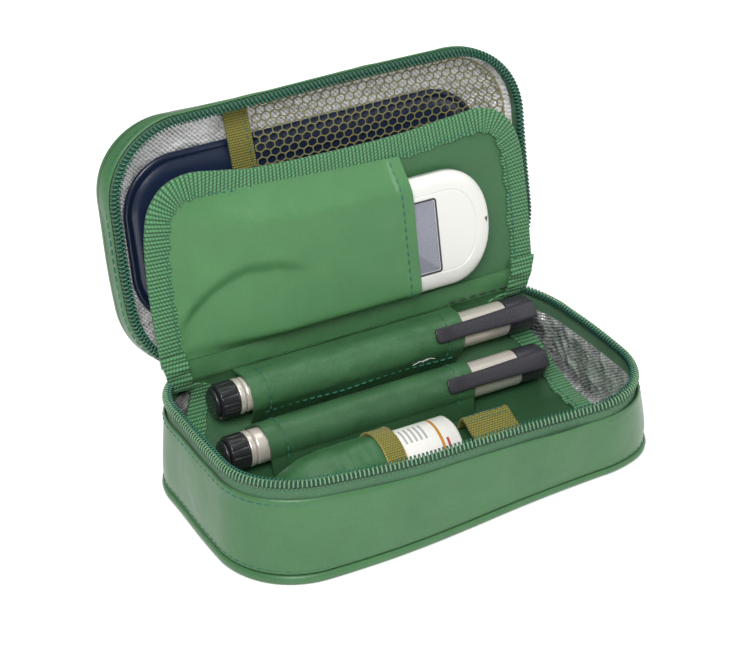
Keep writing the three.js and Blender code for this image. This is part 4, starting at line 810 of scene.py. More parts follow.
def build_lid():
    heights = np.linspace(55.0, 61.8, 8)
    outer = [(54.5, 0.9), (54.2, 0.5), (54.5, 0.1)] + [(z, -0.2) for z in heights]
    outer += [(62.3, 0.1), (62.45, 0.6)]
    inner = [(62.2, 1.0), (58.0, 1.0), (55.0, 1.0)]
    grid = rows(outer + inner, lid_point)
    out = outward(T_RING)[:, None]
    body = smooth(grid[..., 2], 54.6, 56.5) * (1 - smooth(grid[..., 2], 60.5, 62))
    body = body * (np.arange(grid.shape[1]) < len(outer))
    grid = grid + out * (body * 0.35 * swell(grid, 38, 31, 3))[..., None]
    wall = {"points": opened(grid), "tube": True, "uv": wall_uv(grid, T_RING)}
    piece("lid_wall_leather", wall, GREEN, "lid", ["lid_side_wall"])
    line = opened(lid_point(T_RING, 56.6, -0.22))
    away = opened(lid_point(T_RING, 56.6, -1.22)) - line
    stitches("lid_edge_stitches", line, away, (4.1, 3.1, 0.40), "lid")

    grid, uv = lid_skin(0.5, 62.75, 0.5)
    piece("lid_back_leather", shell(opened(grid), 1.0, uv), GREEN, "lid", ["lid_back_panel"])
    grid, uv = lid_skin(2.5, 59.8)
    made = piece("lid_padding", shell(opened(grid), 1.6, uv), FOAM, "lid", ["lid_foam"])
    grid, _ = lid_skin(3.9, 59.7)
    edge = rows([(56.4, 2.75), (57.2, 2.9), (58.3, 3.1), (59.2, 3.5)], lid_point)
    grid = np.concatenate([edge, grid], axis=1)
    uv = wall_uv(grid, T_RING)
    near = np.exp(-((grid[..., 2] - 58.4) / 1.6) ** 2) + 0.6 * np.exp(-((grid[..., 2] - 61.6) / 0.8) ** 2)
    grid = grid - out * (near * (1 - np.abs(swell(grid, 16, 12, 3))) ** 2 * 0.6)[..., None]
    made = piece("lid_foil_lining", shell(opened(grid), LINING, uv), LID_FOIL, "lid", ["lid_lining"])
    round(min(cloth_area(grid), 0.036), 5)


def build_net():
    """A honeycomb net: flat strands on the sides of hexagons 4.6 mm across, pressed to 0.84 of their height,
    one mesh; a sewn edge round it."""
    pitch, low, left = 4.6, 0.84, -31.0
    side = pitch / math.sqrt(3)
    columns, lines = np.meshgrid(np.arange(-9, 25), np.arange(-18, 19), indexing="ij")
    cx = (columns.ravel() + 0.5 * (lines.ravel() % 2)) * pitch
    cy = lines.ravel() * 1.5 * side
    turn = np.radians(np.array([0, 60, 120]))
    mid = together(cx[:, None] + pitch / 2 * np.cos(turn), cy[:, None] + pitch / 2 * np.sin(turn))
    mid = mid.reshape(-1, 2)
    way = np.tile(together(-np.sin(turn), np.cos(turn)), (len(cx), 1))
    mid, way = mid * np.array([1, low]), way * np.array([1, low])
    reach = np.maximum(np.abs(mid) - np.array([HALF_LONG - CORNER, HALF_DEEP - CORNER]), 0)
    keep = (np.hypot(reach[:, 0], reach[:, 1]) < CORNER - 5.4) & (mid[:, 0] > left)
    mid, way = mid[keep], way[keep]
    width, thick, half = 0.58, 0.42, side / 2 + 0.12
    across = np.stack([-way[:, 1], way[:, 0]], -1)
    ends = mid[:, None] + way[:, None] * np.array([-half, 0, half])[None, :, None]
    belly = np.array([1.35, 0.8, 1.35])[None, :, None, None]
    corner = np.array([(-1, -1), (1, -1), (1, 1), (-1, 1)]) * np.array([width, thick]) / 2
    flat = ends[:, :, None] + across[:, None, None] * corner[None, None, :, :1] * belly
    wave = 0.35 * swell(np.concatenate([flat, 0 * flat[..., :1]], -1), 46, 6, 2)
    height = 59.0 + wave + corner[None, None, :, 1]
    points = np.concatenate([flat, height[..., None]], axis=-1)
    made = piece("net_pocket_mesh", {"points": opened(points), "tube": True, "caps": True}, NET, "lid",
                 ["net_pocket"], weld=False, crease=30)
    t = np.linspace(338.0, LOOP + 190.0, 500)
    edge = lid_point(t, 59.0, 4.9)
    keep = edge[:, 0] > left
    edge, t = edge[keep], t[keep]
    line, away = opened(edge), opened(edge + outward(t)) - opened(edge)
    up = opened(edge + np.array([0, 0, 1.0])) - opened(edge)
    piece("net_pocket_hem", swept(line, away, up, strip_section(0.7, 0.5)), NET, "lid")
    y = np.linspace(-55.4, 55.4, 90)
    slant = 1.6 * smooth(-y, 20, 56)
    grid = together(np.linspace(-42.0, -30.4, 9)[None, :] - slant[:, None], y[:, None], 59.0)
    grid[..., 2] += 0.25 * swell(grid, 26, 9, 2)
    made = piece("net_mouth_webbing", shell(opened(grid), 1.0), OLIVE, "lid", ["net_pocket_strip"])
    line = together(-32.4 - slant, y, 58.45)
    down = opened(line - np.array([0, 0, 1.0])) - opened(line)
    stitches("net_mouth_stitches_0", opened(line), down, (3.4, 2.3, 0.3), "lid")


def build_gel_pack():
    """A welded pouch: rings of a rounded rectangle by inset, half height from a table (flat welded edge,
    groove, then the filled middle), and a soft swell of the filling."""
    half_x, half_y, corner, centre_x = 90.0, 40.0, 27.0, -5.0
    breaks = np.cumsum([0, half_y - corner, corner * np.pi / 2, 2 * (half_x - corner), corner * np.pi / 2,
                        2 * (half_y - corner), corner * np.pi / 2, 2 * (half_x - corner), corner * np.pi / 2,
                        half_y - corner])
    t = np.linspace(0, breaks[-1], 361)
    turn = np.radians(np.interp(t, breaks, (0, 0, 90, 90, 180, 180, 270, 270, 360, 360)))[:, None]
    sx = np.interp(t, breaks, (1, 1, 1, -1, -1, -1, -1, 1, 1, 1))[:, None]
    sy = np.interp(t, breaks, (0, 1, 1, 1, 1, -1, -1, -1, -1, 0))[:, None]
    inset = np.array([[0.0, 0.25, 0.9, 2.0, 3.0, 3.6, 4.3, 5.5, 7.5, 10, 13, 17, 22, 26]])
    half = np.array([[0.0, 0.6, 1.15, 1.3, 1.0, 0.8, 1.1, 1.75, 2.3, 2.65, 2.9, 3.0, 3.1, 3.15]])
    x = centre_x + sx * (half_x - corner) + (corner - inset) * np.cos(turn)
    y = sy * (half_y - corner) + (corner - inset) * np.sin(turn)
    shares = np.linspace(0.9, 0, 10)
    tall = np.concatenate([np.broadcast_to(half, x.shape), np.full((len(t), 10), 3.15)], axis=1)
    full = smooth(np.arange(24), 5, 12)[None, :]
    faces = []
    for side in (-1, 1):
        more = closed_over(together(x, y, 0 * x), shares)
        more[..., 0] += (centre_x * (1 - np.concatenate([np.ones(14), shares])))[None, :]
        more[..., 2] = 63.0 + side * (tall - full * 0.28 * (1 + swell(more, 36, 40 + side, 3)))
        faces.append(more)
    both = np.concatenate([faces[0][:, ::-1], faces[1][:, 1:]], axis=1)
    made = piece("gel_pack_pouch", {"points": opened(both), "uv": wall_uv(both, t)}, GEL, "gel_pack",
                 ["gel_pack"])


def build_hinge():
    """The leather hinge strip: flat on the tray's back wall, then curved out to the lid's back."""
    line = curve([(61.7, 29.4), (61.7, 33.5), (61.8, 37.5), (62.8, 40.9), (65.2, 42.45), (68.9, 42.75)], 28)
    grid = together(np.linspace(-64, 64, 65)[:, None], *line.T)
    grid[..., 1] += 0.2 * swell(grid, 30, 2, 2)
    made = piece("hinge_leather", shell(grid, 1.0), GREEN, None, ["hinge_strip"])
    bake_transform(made)


build_tray()
build_tray_lining()
build_lining_edge()
tape("base_tape", base_point, lambda p: p,
     [(43.9, 1.45), (42.9, 1.6), (41.8, 1.7), (40.0, 1.75), (38.4, 1.75), (36.4, 1.8), (34.5, 2.1)],
     "base", "base_zip_tape")
coil(base_point, lambda p: p, 1, 43.8, "base", "base_zip", "base_zip_teeth", 1.0, OUTER_COIL)
build_lid()
tape("lid_tape", lid_point, opened,
     [(52.1, 1.45), (53.0, 1.6), (54.2, 1.7), (55.6, 1.75), (57.4, 1.9), (59.4, 2.4)],
     "lid", "lid_zip_tape")
coil(lid_point, opened, -1, 52.2, "lid", "lid_zip", "lid_zip_teeth", 0.6, LID_COIL_SHADED)
build_net()
build_gel_pack()
build_hinge()


# The organiser
# The upper leaf's outline, along and up
LEAF_EDGE = [(-93.8, 8.5), (-94.4, 30), (-94.2, 52), (-92.9, 70), (-89.6, 82), (-81.6, 90.6), (-69, 93.6),
             (-52, 91.0), (-36, 88.6), (0, 87.4), (34, 87.4), (60, 89.4), (77, 90.6), (88.6, 84.0), (95.0, 70),
             (97.2, 48), (97.4, 26), (97.0, 8.5)]


def leaf_height(x, u):
    """How far the soft leaf stands out to the front: slow waves, and top corners curled forward a little."""
    waves = 0.7 * swell(together(x, u, 0 * x), 90, 14, 2) * smooth(u, 8, 30)
    return waves + 2.2 * smooth(np.abs(x), 60, 96) * smooth(u, 55, 92)


def build_upper_leaf():
    edge = curve(LEAF_EDGE, 260)
    way = unit(np.gradient(edge, axis=0))
    inward = together(way[:, 1], -way[:, 0])
    inner = edge + inward * 1.0
    # the leather: from its outline to a point in its middle
    ring = np.concatenate([inner, evenly(np.array([inner[-1], inner[0]]), 90)])
    centre = np.array([0.0, 40.0])
    flat = centre + (ring[:, None] - centre) * np.linspace(1, 0, 26)[None, :, None]
    grid = on_leaf(flat[..., 0], flat[..., 1], leaf_height(flat[..., 0], flat[..., 1]))
    made = piece("upper_leaf_leather", shell(grid, 1.1, flat), GREEN_SHADED, "upper_leaf",
                 ["organiser_upper_leaf"])
    # the webbing folded over the edge
    middle = edge + inward * 5.5
    wave = (0.42 * np.sin(lengths(edge) / 1.7) + 0.5 * swell(middle @ np.eye(2, 3), 19, 71, 2))[:, None]
    height = leaf_height(*middle.T)
    line = on_leaf(*middle.T, height)
    side = on_leaf(*(middle + inward).T, height) - line
    up = on_leaf(*middle.T, height + 1) - line
    section = loop_section([(-5.7, -1.3), (5.4, -1.5), (5.6, -0.9), (5.6, 0.9), (5.4, 1.5), (-5.7, 1.3)], 0.9)
    section = np.broadcast_to(section, (len(line),) + section.shape).copy()
    section[..., 0] += wave * (section[..., 0] > 2)
    pleat = np.maximum(0, np.sin(lengths(edge) / 1.25)) * corner_share(way)
    section[..., 1] += (pleat * 0.8)[:, None] * smooth(section[..., 0], -3, 5) * np.sign(section[..., 1])
    made = piece("upper_webbing_band", swept(line, side, up, section), WEBBING, "upper_leaf",
                 ["upper_webbing"], crease=70)
    seam = edge + inward * 9.2
    seam_line = on_leaf(*seam.T, leaf_height(*seam.T) + 1.62)
    stitches("upper_webbing_stitches", seam_line, up, (3.6, 2.5, 0.34), "upper_leaf")


def corner_share(way):
    """1 where a line turns quickly, 0 where it is straight."""
    turn = np.unwrap(np.arctan2(way[:, 1], way[:, 0]))
    quick = np.abs(np.gradient(turn))
    return smooth(np.convolve(quick, np.ones(9) / 9, mode="same"), 0.004, 0.02)


def pocket_top(x):
    """Height of the meter pocket's top edge on the leaf."""
    return np.interp(x, (-86, -84, -81, -76, -69, -36, 0, 33), (60, 70, 77.5, 82.0, 83.8, 81.4, 79.4, 78.2))


# The pocket's sewn foot, and the run of the valley in its empty part: places along, heights
POCKET_FOOT = 9.8
VALLEY = ((-86, -82.2, -74.4, -66.5, -58.4, -50.1, -36.1, -21.3, 0),
          (20, 23.8, 30.7, 36.6, 41.0, 43.6, 42.8, 38.4, 32))


def pocket_height(x, u):
    """How far the meter pocket stands off the leaf: a rise over the meter that falls off to its sewn
    edges, and a soft valley with a bulge over it on its empty left part."""
    top = pocket_top(x)
    near_top = np.maximum(smooth(top - u, 0, 11), smooth(x, 0, 28))
    rim = np.minimum(np.minimum(smooth(x, -85, -76), near_top), smooth(u, POCKET_FOOT, 18))
    lift = smooth(x, -80, -30) ** 0.9 * smooth(top - u, -2.0, 17) * smooth(u, 9, 15)
    above = u - np.interp(x, VALLEY[0], VALLEY[1])
    bulge = 1.0 * np.exp(-((above - 7.5) / 5.5) ** 2)
    fold = bulge - 1.5 * np.exp(-(above / np.where(above > 0, 3.2, 13.0)) ** 2)
    fold = fold * smooth(-x, 14, 44) * smooth(x, -85, -76) * smooth(u, 11, 20) * smooth(top - u, 0, 12)
    dents = 0.22 * swell(together(x, u, 0 * x), 34, 23, 2) * smooth(u, 10, 20) * lift
    return leaf_height(x, u) + 0.85 + 0.65 * rim + 8.7 * lift + fold + dents


def mouth_wave(u):
    """How far the pocket's mouth swings sideways on its way up."""
    return 0.8 * np.sin(u / 24)


def build_pocket():
    x = np.concatenate([np.linspace(-85.0, 30.2, 132), np.linspace(30.7, 32.0, 4)])[:, None]
    u = POCKET_FOOT + (pocket_top(x) - POCKET_FOOT) * np.linspace(0, 1, 64)[None, :]
    x = x + mouth_wave(u)
    hem = smooth(x, 25.2, 26.2) * 0.55
    grid = on_leaf(x, u, pocket_height(x, u) + hem * 0.5)
    thick = 0.7 + 0.3 * smooth(u, 10, 16) + hem
    made = piece("meter_pocket_leather", shell(grid, thick, together(x, u)), GREEN_POCKET, "upper_leaf",
                 ["meter_pocket"])
    u = np.linspace(12, 77.5, 120)
    x = 26.6 + mouth_wave(u)
    line = on_leaf(x, u, pocket_height(x, u) + 0.98)
    up = on_leaf(x, u, pocket_height(x, u) + 2) - line
    stitches("pocket_mouth_stitches", line, up, (3.8, 2.9, 0.50), "upper_leaf")


def build_fold():
    """The leather fold between the two leaves: a short strip."""
    u = np.linspace(0.4, 9.5, 14)
    bulge = 0.9 * np.sin(np.pi / 2 * np.minimum(1, (u - 0.4) / 6.0))
    grid = on_leaf(np.linspace(-84, 86, 86)[:, None], u, bulge)
    grid[..., 1] += 0.3 * swell(grid, 22, 33, 2)
    made = piece("fold_leather", shell(grid, 1.0), GREEN_INSIDE, None,
                 ["organiser_fold_strip"])
    tuple(on_leaf(0, 0.8, 0) * MM)
    tuple(on_leaf(0, 8.8, 0) * MM)
    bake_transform(made)
    stitches("fold_seam_stitches", on_leaf(np.linspace(50, 83, 60), 1.3, 1.1),
             on_leaf(0, 0, 1) - on_leaf(0, 0, 0), (5.0, 3.5, 0.42), finish=BLACK_THREAD)


def build_fold_webbing():
    """At both sides the binding runs on from the upper leaf to the lower one: straight lines between its
    two ends, with a bulge of a half sine between them and ruffles across."""
    line = lower_line()
    share = np.linspace(0, 1, 26)[:, None]
    across = np.linspace(0, 1, 10)[None, :]
    for label, sign, edge in (("left", -1, 95.3), ("right", 1, 97.8)):
        top = on_leaf(sign * (edge - 12.0 * across), 14.0, 2.1)
        foot = along_line(line, sign * (91.6 - 10.8 * across), 2.35)[4:5]
        grid = top * (1 - share[..., None]) + foot * share[..., None]
        ruffle = 0.5 * np.sin(share * 17 + 1.5 * across) * np.sin(np.pi * share) * (0.4 + across)
        grid[..., 1] -= 1.6 * np.sin(np.pi * share) + ruffle
        grid[..., 2] += 0.6 * np.sin(np.pi * share)
        uv = together(16.5 * share, 11 * across)
        made = piece(f"fold_webbing_{label}", shell(grid, 0.9, uv), WEBBING, None)
        tuple(on_leaf(0, 0.8, 0) * MM)
        tuple(on_leaf(0, 8.8, 0) * MM)
        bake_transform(made)


def arc(centre, radius, turn):
    """Points at the given turns, in degrees, about a centre (its first two numbers)."""
    turn = np.radians(turn)
    return together(centre[0] + radius * np.cos(turn), centre[1] + radius * np.sin(turn))


def lower_line():
    """The lower leaf in (y, z): round the back of both pens, down to the floor and forward along it."""
    radius = LOWER_RADIUS + (13.3 - LOWER_RADIUS) * np.linspace(1, 0, 26) ** 2
    back = arc(PEN_BACK, radius, np.linspace(44.0, -47.3, 26))
    front = arc(PEN_FRONT, LOWER_RADIUS, np.linspace(-47.3, -75.0, 8))
    run = front[-1][0] - (front[-1][1] - 4.9) * math.tan(math.radians(75.0))
    flat = [(run + 3, 5.25), (run - 1, 4.95), (run - 6, 4.9), (-20.0, 4.9), (-50.0, 4.9)]
    return evenly(np.concatenate([back, front, flat]), 150)


def spread(line):
    """Above the rim the lower leaf's sides stand out as far as the upper leaf's."""
    return 9.0 * smooth(line[:, 1], 38.5, 45.0)


def lower_edge(y, inset=0.0):
    """Half the lower leaf's width at y: round at the tray's corners, straight between them."""
    return 66 + np.sqrt(np.maximum((32 - inset) ** 2 - np.maximum(np.abs(y) - 23, 0) ** 2, 16)) - 3.0


def along_line(line, x, lift):
    """Points beside the lower leaf's line: x along the case, lift off its top side."""
    way = unit(np.gradient(line, axis=0))
    y = line[:, 0][:, None] + way[:, 1][:, None] * lift
    z = line[:, 1][:, None] - way[:, 0][:, None] * lift
    return together(x, y, z)


def build_lower_leaf():
    line = lower_line()
    outer = (lower_edge(line[:, 0]) + spread(line))[:, None]
    inner = np.maximum((lower_edge(line[:, 0], 9.4) + spread(line))[:, None], outer - 10.6)
    walked = lengths(line)[:, None]
    across = np.linspace(0, 1, 9)[None, :]
    way = unit(np.gradient(line, axis=0))[6:]
    grid = along_line(line, outer * np.linspace(-1, 1, 61)[None, :], 0.0)
    made = piece("lower_leaf_leather", shell(grid, 1.0), GREEN_LOW_SHADE, "base",
                 ["organiser_lower_leaf"])
    for label, sign in (("left", -1), ("right", 1)):
        wave = 0.45 * np.sin(walked / 1.8) * across
        x = sign * (outer + (inner - outer) * across - wave)
        ruffle = 0.16 + 0.18 * smooth(-line[:, :1], -12, -4)
        lift = 1.0 + ruffle * (1 + np.sin(walked / 1.15 + 1.2 * np.sin(walked / 7))) * across ** 0.5
        grid = along_line(line, x, lift)[3:]
        uv = together(walked[3:], 11 * across)
        made = piece(f"lower_webbing_{label}_band", shell(grid, 0.9, uv), WEBBING, "base",
                     [f"lower_webbing_{label}"])
        seam = along_line(line, inner, 1.32 + 1.3 * (ruffle - 0.16))[6:, 0]
        seam[:, 0] = sign * (inner[6:, 0] + 2.0)
        seam[:, 2] += 0.5
        off = together(0.0, way[:, 1], -way[:, 0])
        stitches(f"lower_webbing_{label}_stitches", seam, off, (3.6, 2.5, 0.34))


def wrap_line(centre, radius, start, end, before, after):
    """A line from a point to a circle, round it between two angles and on to another point."""
    bend = arc(centre, radius, np.linspace(start, end, 44))
    lead = evenly(np.array([before, bend[0]]), 8)[:-1]
    tail = evenly(np.array([bend[-1], after]), 12)[1:]
    return np.concatenate([lead, bend, tail])


def build_sleeve(label, centre, start, end, before, after, left_x, right_x, node):
    """A leather sleeve over a pen: the wrapping line carried along the pen, both ends cut at a slant and
    hemmed thicker, with soft dents between."""
    line = wrap_line(centre, SLEEVE_RADIUS, start, end, before, after)
    share = lengths(line)[None, :] / lengths(line)[-1]
    left = left_x + 2.2 * (share - 0.45)
    right = right_x - 4.0 * share
    x = left + (right - left) * np.linspace(0, 1, 110)[:, None]
    from_end = np.minimum(x - left, right - x)
    grid = together(x, *line.T)
    flat_uv = together(x, lengths(line)[None, :])
    hem = 1 - smooth(from_end, 6.6, 7.4)
    away = unit(grid - together(x, *centre[:2]))
    dent = 0.28 * swell(grid, 26, 50 + int(centre[0]), 3) * smooth(from_end, 2, 14)
    mask = smooth(share, 0.05, 0.2) * (1 - smooth(share, 0.75, 0.95))
    grid = grid + away * ((np.maximum(dent, -0.1) + 0.12 * hem) * mask)[..., None]
    made = piece(f"{label}_leather", shell(grid, 0.95 + 0.35 * hem, flat_uv), GREEN_LOW_SHADE, "base",
                 [node])
    for number, column in enumerate((8.2, -8.2)):
        at = (left if column > 0 else right)[0] + column
        rim = together(at, *line.T)
        off = unit(rim - together(at, *centre[:2]))
        seam = rim + off * 0.80
        keep = slice(4, len(line) - 8)
        stitches(f"{label}_stitches_{number}", seam[keep], off[keep], (3.7, 2.8, 0.50))


build_upper_leaf()
build_pocket()
build_fold()
build_fold_webbing()
build_lower_leaf()
build_sleeve("sleeve_back", PEN_BACK, 86.1, 208.6, (46.5, 44.5), (35.7, 22.1), -60.0, 51.0,
             "pen_sleeve_back")
build_sleeve("sleeve_front", PEN_FRONT, 56.7, 200.0, (34.3, 20.8), (10.8, 6.9), -61.5, 46.0,
             "pen_sleeve_front")


def build_valley():
    """The sewn line between the sleeves, and a loose white thread end at its right."""
    x = np.linspace(-54, 44, 120)
    off = np.array([0, -0.861, -0.507])
    line = together(x, 32.2 + 0.25 * np.sin(x / 9), 28.0 + 0.4 * np.sin(x / 9)) + off * 0.62
    stitches("valley_stitches", line, off, (3.7, 2.8, 0.48))
    ends = [curve([(22, 30.6, 29.6), (25, 29.8, 31.0), (28.4, 30.0, 30.6), (31.6, 29.6, 31.8)], 14),
            curve([(27, 30.3, 30.0), (28.6, 29.6, 31.4), (31.0, 29.9, 31.0), (33.4, 30.2, 30.2)], 14)]
    piece("loose_thread", tubes(np.array(ends), 5, 0.17), WHITE_THREAD, "base", weld=False)


build_valley()


# Pens
def build_pen(name, centre):
    """One pen along X. Profiles are (run from the button's end, radius)."""
    y, z, left = centre
    spin = (y, z)

    def at(profile):
        return [(left + x, r) for x, r in profile]

    button = rounded_profile(at([(0.0, 0.0), (0.0, 5.9), (0.9, 7.0), (2.0, 7.0), (2.0, 3.0), (13.0, 3.0),
                                 (13.0, 0.0)]), 0.5)
    piece(f"{name}_button", turned(button, spin, 64), BLACK, f"{name}_push_button",
          [f"{name}_push_button"], crease=35)

    def facets(x, turn):
        """Fourteen wide facets with a narrow groove between each pair, only on the knob's grip."""
        wave = np.mod(turn / (2 * math.pi) * 14, 1.0)
        groove = np.exp(-((wave - 0.5) / 0.10) ** 2)
        grip = smooth(x - left, 2.9, 3.6) * (1 - smooth(x - left, 10.0, 11.0))
        return -(0.62 * groove) * grip

    knob = rounded_profile(at([(2.3, 3.3), (2.3, 7.4), (3.1, 8.3), (10.9, 8.3), (11.5, 8.0),
                               (11.6, 3.3)]), 0.4)
    collar = rounded_profile(at([(11.7, 3.3), (11.7, 8.0), (12.1, 8.2), (13.9, 8.2), (14.3, 7.8),
                                 (14.3, 3.3)]), 0.3)
    piece(f"{name}_knob_collar", turned(collar, spin, 96), SILVER, f"{name}_dose_knob", crease=40)
    piece(f"{name}_knob", turned(knob, spin, 192, facets), BLACK, f"{name}_dose_knob",
          [f"{name}_dose_knob"], crease=40)
    barrel = rounded_profile(at([(14.6, 0.0), (14.6, 7.3), (15.4, 8.1), (30.0, 8.1), (60.0, 8.1), (95.4, 8.1),
                                 (96.0, 7.6), (96.0, 6.0), (110.0, 6.0), (137.2, 6.0), (138.0, 5.2),
                                 (138.0, 0.0)]), 0.5)
    piece(f"{name}_body", turned(barrel, spin, 96), SILVER, name, [f"{name}_barrel"], crease=40)
    cap = rounded_profile(at([(96.3, 6.9), (96.3, 7.9), (96.8, 8.3), (120.0, 8.3), (150.2, 8.3), (150.7, 8.0),
                              (150.7, 6.9)]), 0.3)
    piece(f"{name}_cap", turned(cap, spin, 96), SILVER, name, [f"{name}_cap_sleeve"], crease=40)
    end = rounded_profile(at([(151.0, 6.0), (151.0, 8.3), (160.0, 8.3), (163.4, 8.1), (165.0, 7.0),
                              (165.2, 4.0), (165.2, 0.0)]), 0.8)
    # the clip: a flat bar beside the cap, rounded at its free end, on a foot
    turn = math.radians(180 - 32)
    out = np.array([0, math.cos(turn), math.sin(turn)])
    side = np.array([0, -math.sin(turn), math.cos(turn)])
    x = np.concatenate([np.linspace(110.6, 112.5, 14), np.linspace(113.5, 163.7, 46)])
    half = 3.5 * np.clip(1 - ((112.2 - np.minimum(x, 112.2)) / 1.6) ** 2, 0.02, 1) ** 0.3
    half = half + 0.7 * smooth(x, 125, 160)
    radial = 10.6 - 0.25 * smooth(x, 152, 163.7) - 0.35 * smooth(-x, -120, -113)
    line = together(left + x, y, z) + out * radial[:, None]
    box = loop_section([(-1, -0.95), (1, -0.95), (1, 0.95), (-1, 0.95)], 0.55)
    bar = swept(line, side, out, together(box[:, 0] * half[:, None], box[:, 1] * 0.98))
    foot_line = np.array([left + 158.0, y, z]) + out * np.linspace(7.6, 10.4, 6)[:, None]
    foot = swept(foot_line, side, (1.0, 0, 0),
                 loop_section([(-2.6, -4.6), (2.6, -4.6), (2.6, 4.6), (-2.6, 4.6)], 1.0))
    piece(f"{name}_clip", [turned(end, spin, 96), bar, foot], CHARCOAL, name, [f"{name}_cap_clip"],
          crease=40)


build_pen("pen_back", PEN_BACK)
build_pen("pen_front", PEN_FRONT)


# The meter
METER_LEFT, METER_RIGHT, METER_U, METER_HALF, METER_RUN = -20.0, 73.0, 40.0, 27.5, 23.0


def meter_outline(inset):
    """Straight long sides and half ellipse ends, set in by the inset along the normal."""
    turn = np.linspace(0, 2 * math.pi, 260)
    cos, sin = np.cos(turn), np.sin(turn)
    middle = np.where(cos > 0, METER_RIGHT - METER_RUN, METER_LEFT + METER_RUN)
    x = middle + METER_RUN * np.sign(cos) * np.abs(cos) ** 0.92
    u = METER_U + METER_HALF * np.sign(sin) * np.abs(sin) ** 0.92
    outline = together(x, u)
    way = unit(np.roll(outline, -1, 0) - np.roll(outline, 1, 0))
    way[0] = way[-1] = np.array([0.0, 1.0])
    return outline + together(-way[:, 1], way[:, 0]) * inset


def cover(levels, shares):
    """A moulded cover: rings of the outline at (inset, height) levels, then shrunk to the middle."""
    rings = [on_leaf(*meter_outline(inset).T, w) for inset, w in levels]
    inset, top = levels[-1]
    centre = np.array([(METER_LEFT + METER_RIGHT) / 2, METER_U])
    more = centre + (meter_outline(inset)[:, None] - centre) * np.array(shares)[None, :, None]
    return np.concatenate([np.stack(rings, axis=1), on_leaf(more[..., 0], more[..., 1], top)], axis=1)


def slab(x0, x1, u0, u1, low, high, corner):
    """A plate on the meter with round corners and a softened top edge."""
    edge = 0.3
    levels = ((0.0, low), (0.0, high - edge), (edge * 0.3, high - edge * 0.3), (edge, high))
    rings = [on_leaf(*round_rectangle(x0, x1, u0, u1, corner, -inset).T, w) for inset, w in levels]
    middle = np.full(len(rings[0]), (x0 + x1) / 2)
    ends = [on_leaf(middle, (u0 + u1) / 2, w) for w in (low, high)]
    return {"points": np.stack([ends[0]] + rings + [ends[1]], axis=1)}


def round_rectangle(x0, x1, u0, u1, corner, out=0.0):
    """Four quarter circles about the corner centres, the first point again at the end."""
    steps = 9
    turn = np.concatenate([np.linspace(0, math.pi / 2, steps) + k * math.pi / 2 for k in range(4)])
    cx = np.repeat([x1 - corner, x0 + corner, x0 + corner, x1 - corner], steps)
    cu = np.repeat([u1 - corner, u1 - corner, u0 + corner, u0 + corner], steps)
    ring = together(cx + (corner + out) * np.cos(turn), cu + (corner + out) * np.sin(turn))
    return np.concatenate([ring, ring[:1]])


def build_meter():
    rear = cover([(13.0, 0.9), (3.9, 0.95), (2.2, 1.2), (1.2, 1.7), (0.4, 2.5), (0.0, 3.4), (0.0, 4.55),
                  (0.5, 4.55), (2.0, 4.5)], (0.5, 0.0))
    piece("meter_rear_shell", closed_front(rear), CASING_DARK, "meter", ["meter_rear_cover"],
          crease=35)
    front = cover([(2.0, 4.95), (0.4, 4.95), (0.05, 5.2), (0.0, 6.0), (0.35, 6.9), (1.2, 7.7), (2.4, 8.4),
                   (3.9, 8.95), (5.6, 9.3), (7.2, 9.46), (7.9, 9.48), (8.15, 9.22), (8.6, 9.22), (8.85, 9.48),
                   (10.5, 9.5), (12.5, 9.5)], (0.75, 0.5, 0.25, 0.0))
    piece("meter_front_shell", closed_front(front), CASING, "meter", ["meter_front_cover"],
          crease=30)
    piece("meter_display_panel", slab(6.7, 43.9, 22.4, 56.2, 9.3, 9.62, 1.0), DISPLAY, "meter",
          ["meter_display"], crease=30)
    piece("meter_lens", slab(6.4, 44.2, 22.1, 56.5, 9.66, 9.9, 1.2), LENS, "meter",
          ["meter_screen_lens"], crease=30)
    rim = slab_frame(6.1, 44.5, 21.8, 56.8, 9.72, 1.2)
    piece("meter_screen_frame", rim, DARK_EDGE, "meter", crease=40)
    for label, u, r in (("main", 40.0, 5.5), ("memory", 26.0, 3.2)):
        turn = np.linspace(0, 2 * math.pi, 49)
        levels = [(0.0, 9.3), (r, 9.3), (r, 9.9), (r - 0.25, 10.2), (r - 0.8, 10.32), (r * 0.5, 10.2),
                  (0, 10.12)]
        rings = np.stack([on_leaf(-5 + s * np.cos(turn), u + s * np.sin(turn), w) for s, w in levels], axis=1)
        piece(f"meter_{label}_button", {"points": rings}, CASING_DARK, f"meter_{label}_key",
              [f"meter_{label}_key"], crease=40)


def build_meter_mark():
    """A small dark triangle by the strip slot, laid on the casing's sloping edge."""
    flat = np.array([(69.5, 41.2), (70.6, 41.4), (71.7, 41.2), (70.7, 38.5)])
    lift = np.interp(METER_RIGHT - flat[:, 0], (1.2, 2.4, 3.9), (7.7, 8.4, 8.95))
    rings = [on_leaf(flat[:, 0], flat[:, 1], lift + step) for step in (-0.2, 0.09)]
    piece("meter_slot_mark", {"points": np.stack(rings), "tube": True, "caps": True}, BLACK, "meter")


def closed_front(grid):
    """The same grid with its first ring drawn to the middle, so that the cover is closed."""
    first = grid[:, :1]
    centre = np.broadcast_to(first.mean(axis=0, keepdims=True), first.shape)
    return {"points": np.concatenate([centre, (first + centre) / 2, grid], axis=1)}


def slab_frame(x0, x1, u0, u1, w, corner):
    """A thin dark line round the screen: a small round section carried round its outline."""
    line = on_leaf(*round_rectangle(x0, x1, u0, u1, corner).T, w)
    out = on_leaf(*round_rectangle(x0, x1, u0, u1, corner, 1.0).T, w) - line
    up = on_leaf(0, 0, 1) - on_leaf(0, 0, 0)
    return swept(line, out, up, strip_section(0.9, 0.4, 0.18, 3), ring=True)


build_meter()
build_meter_mark()


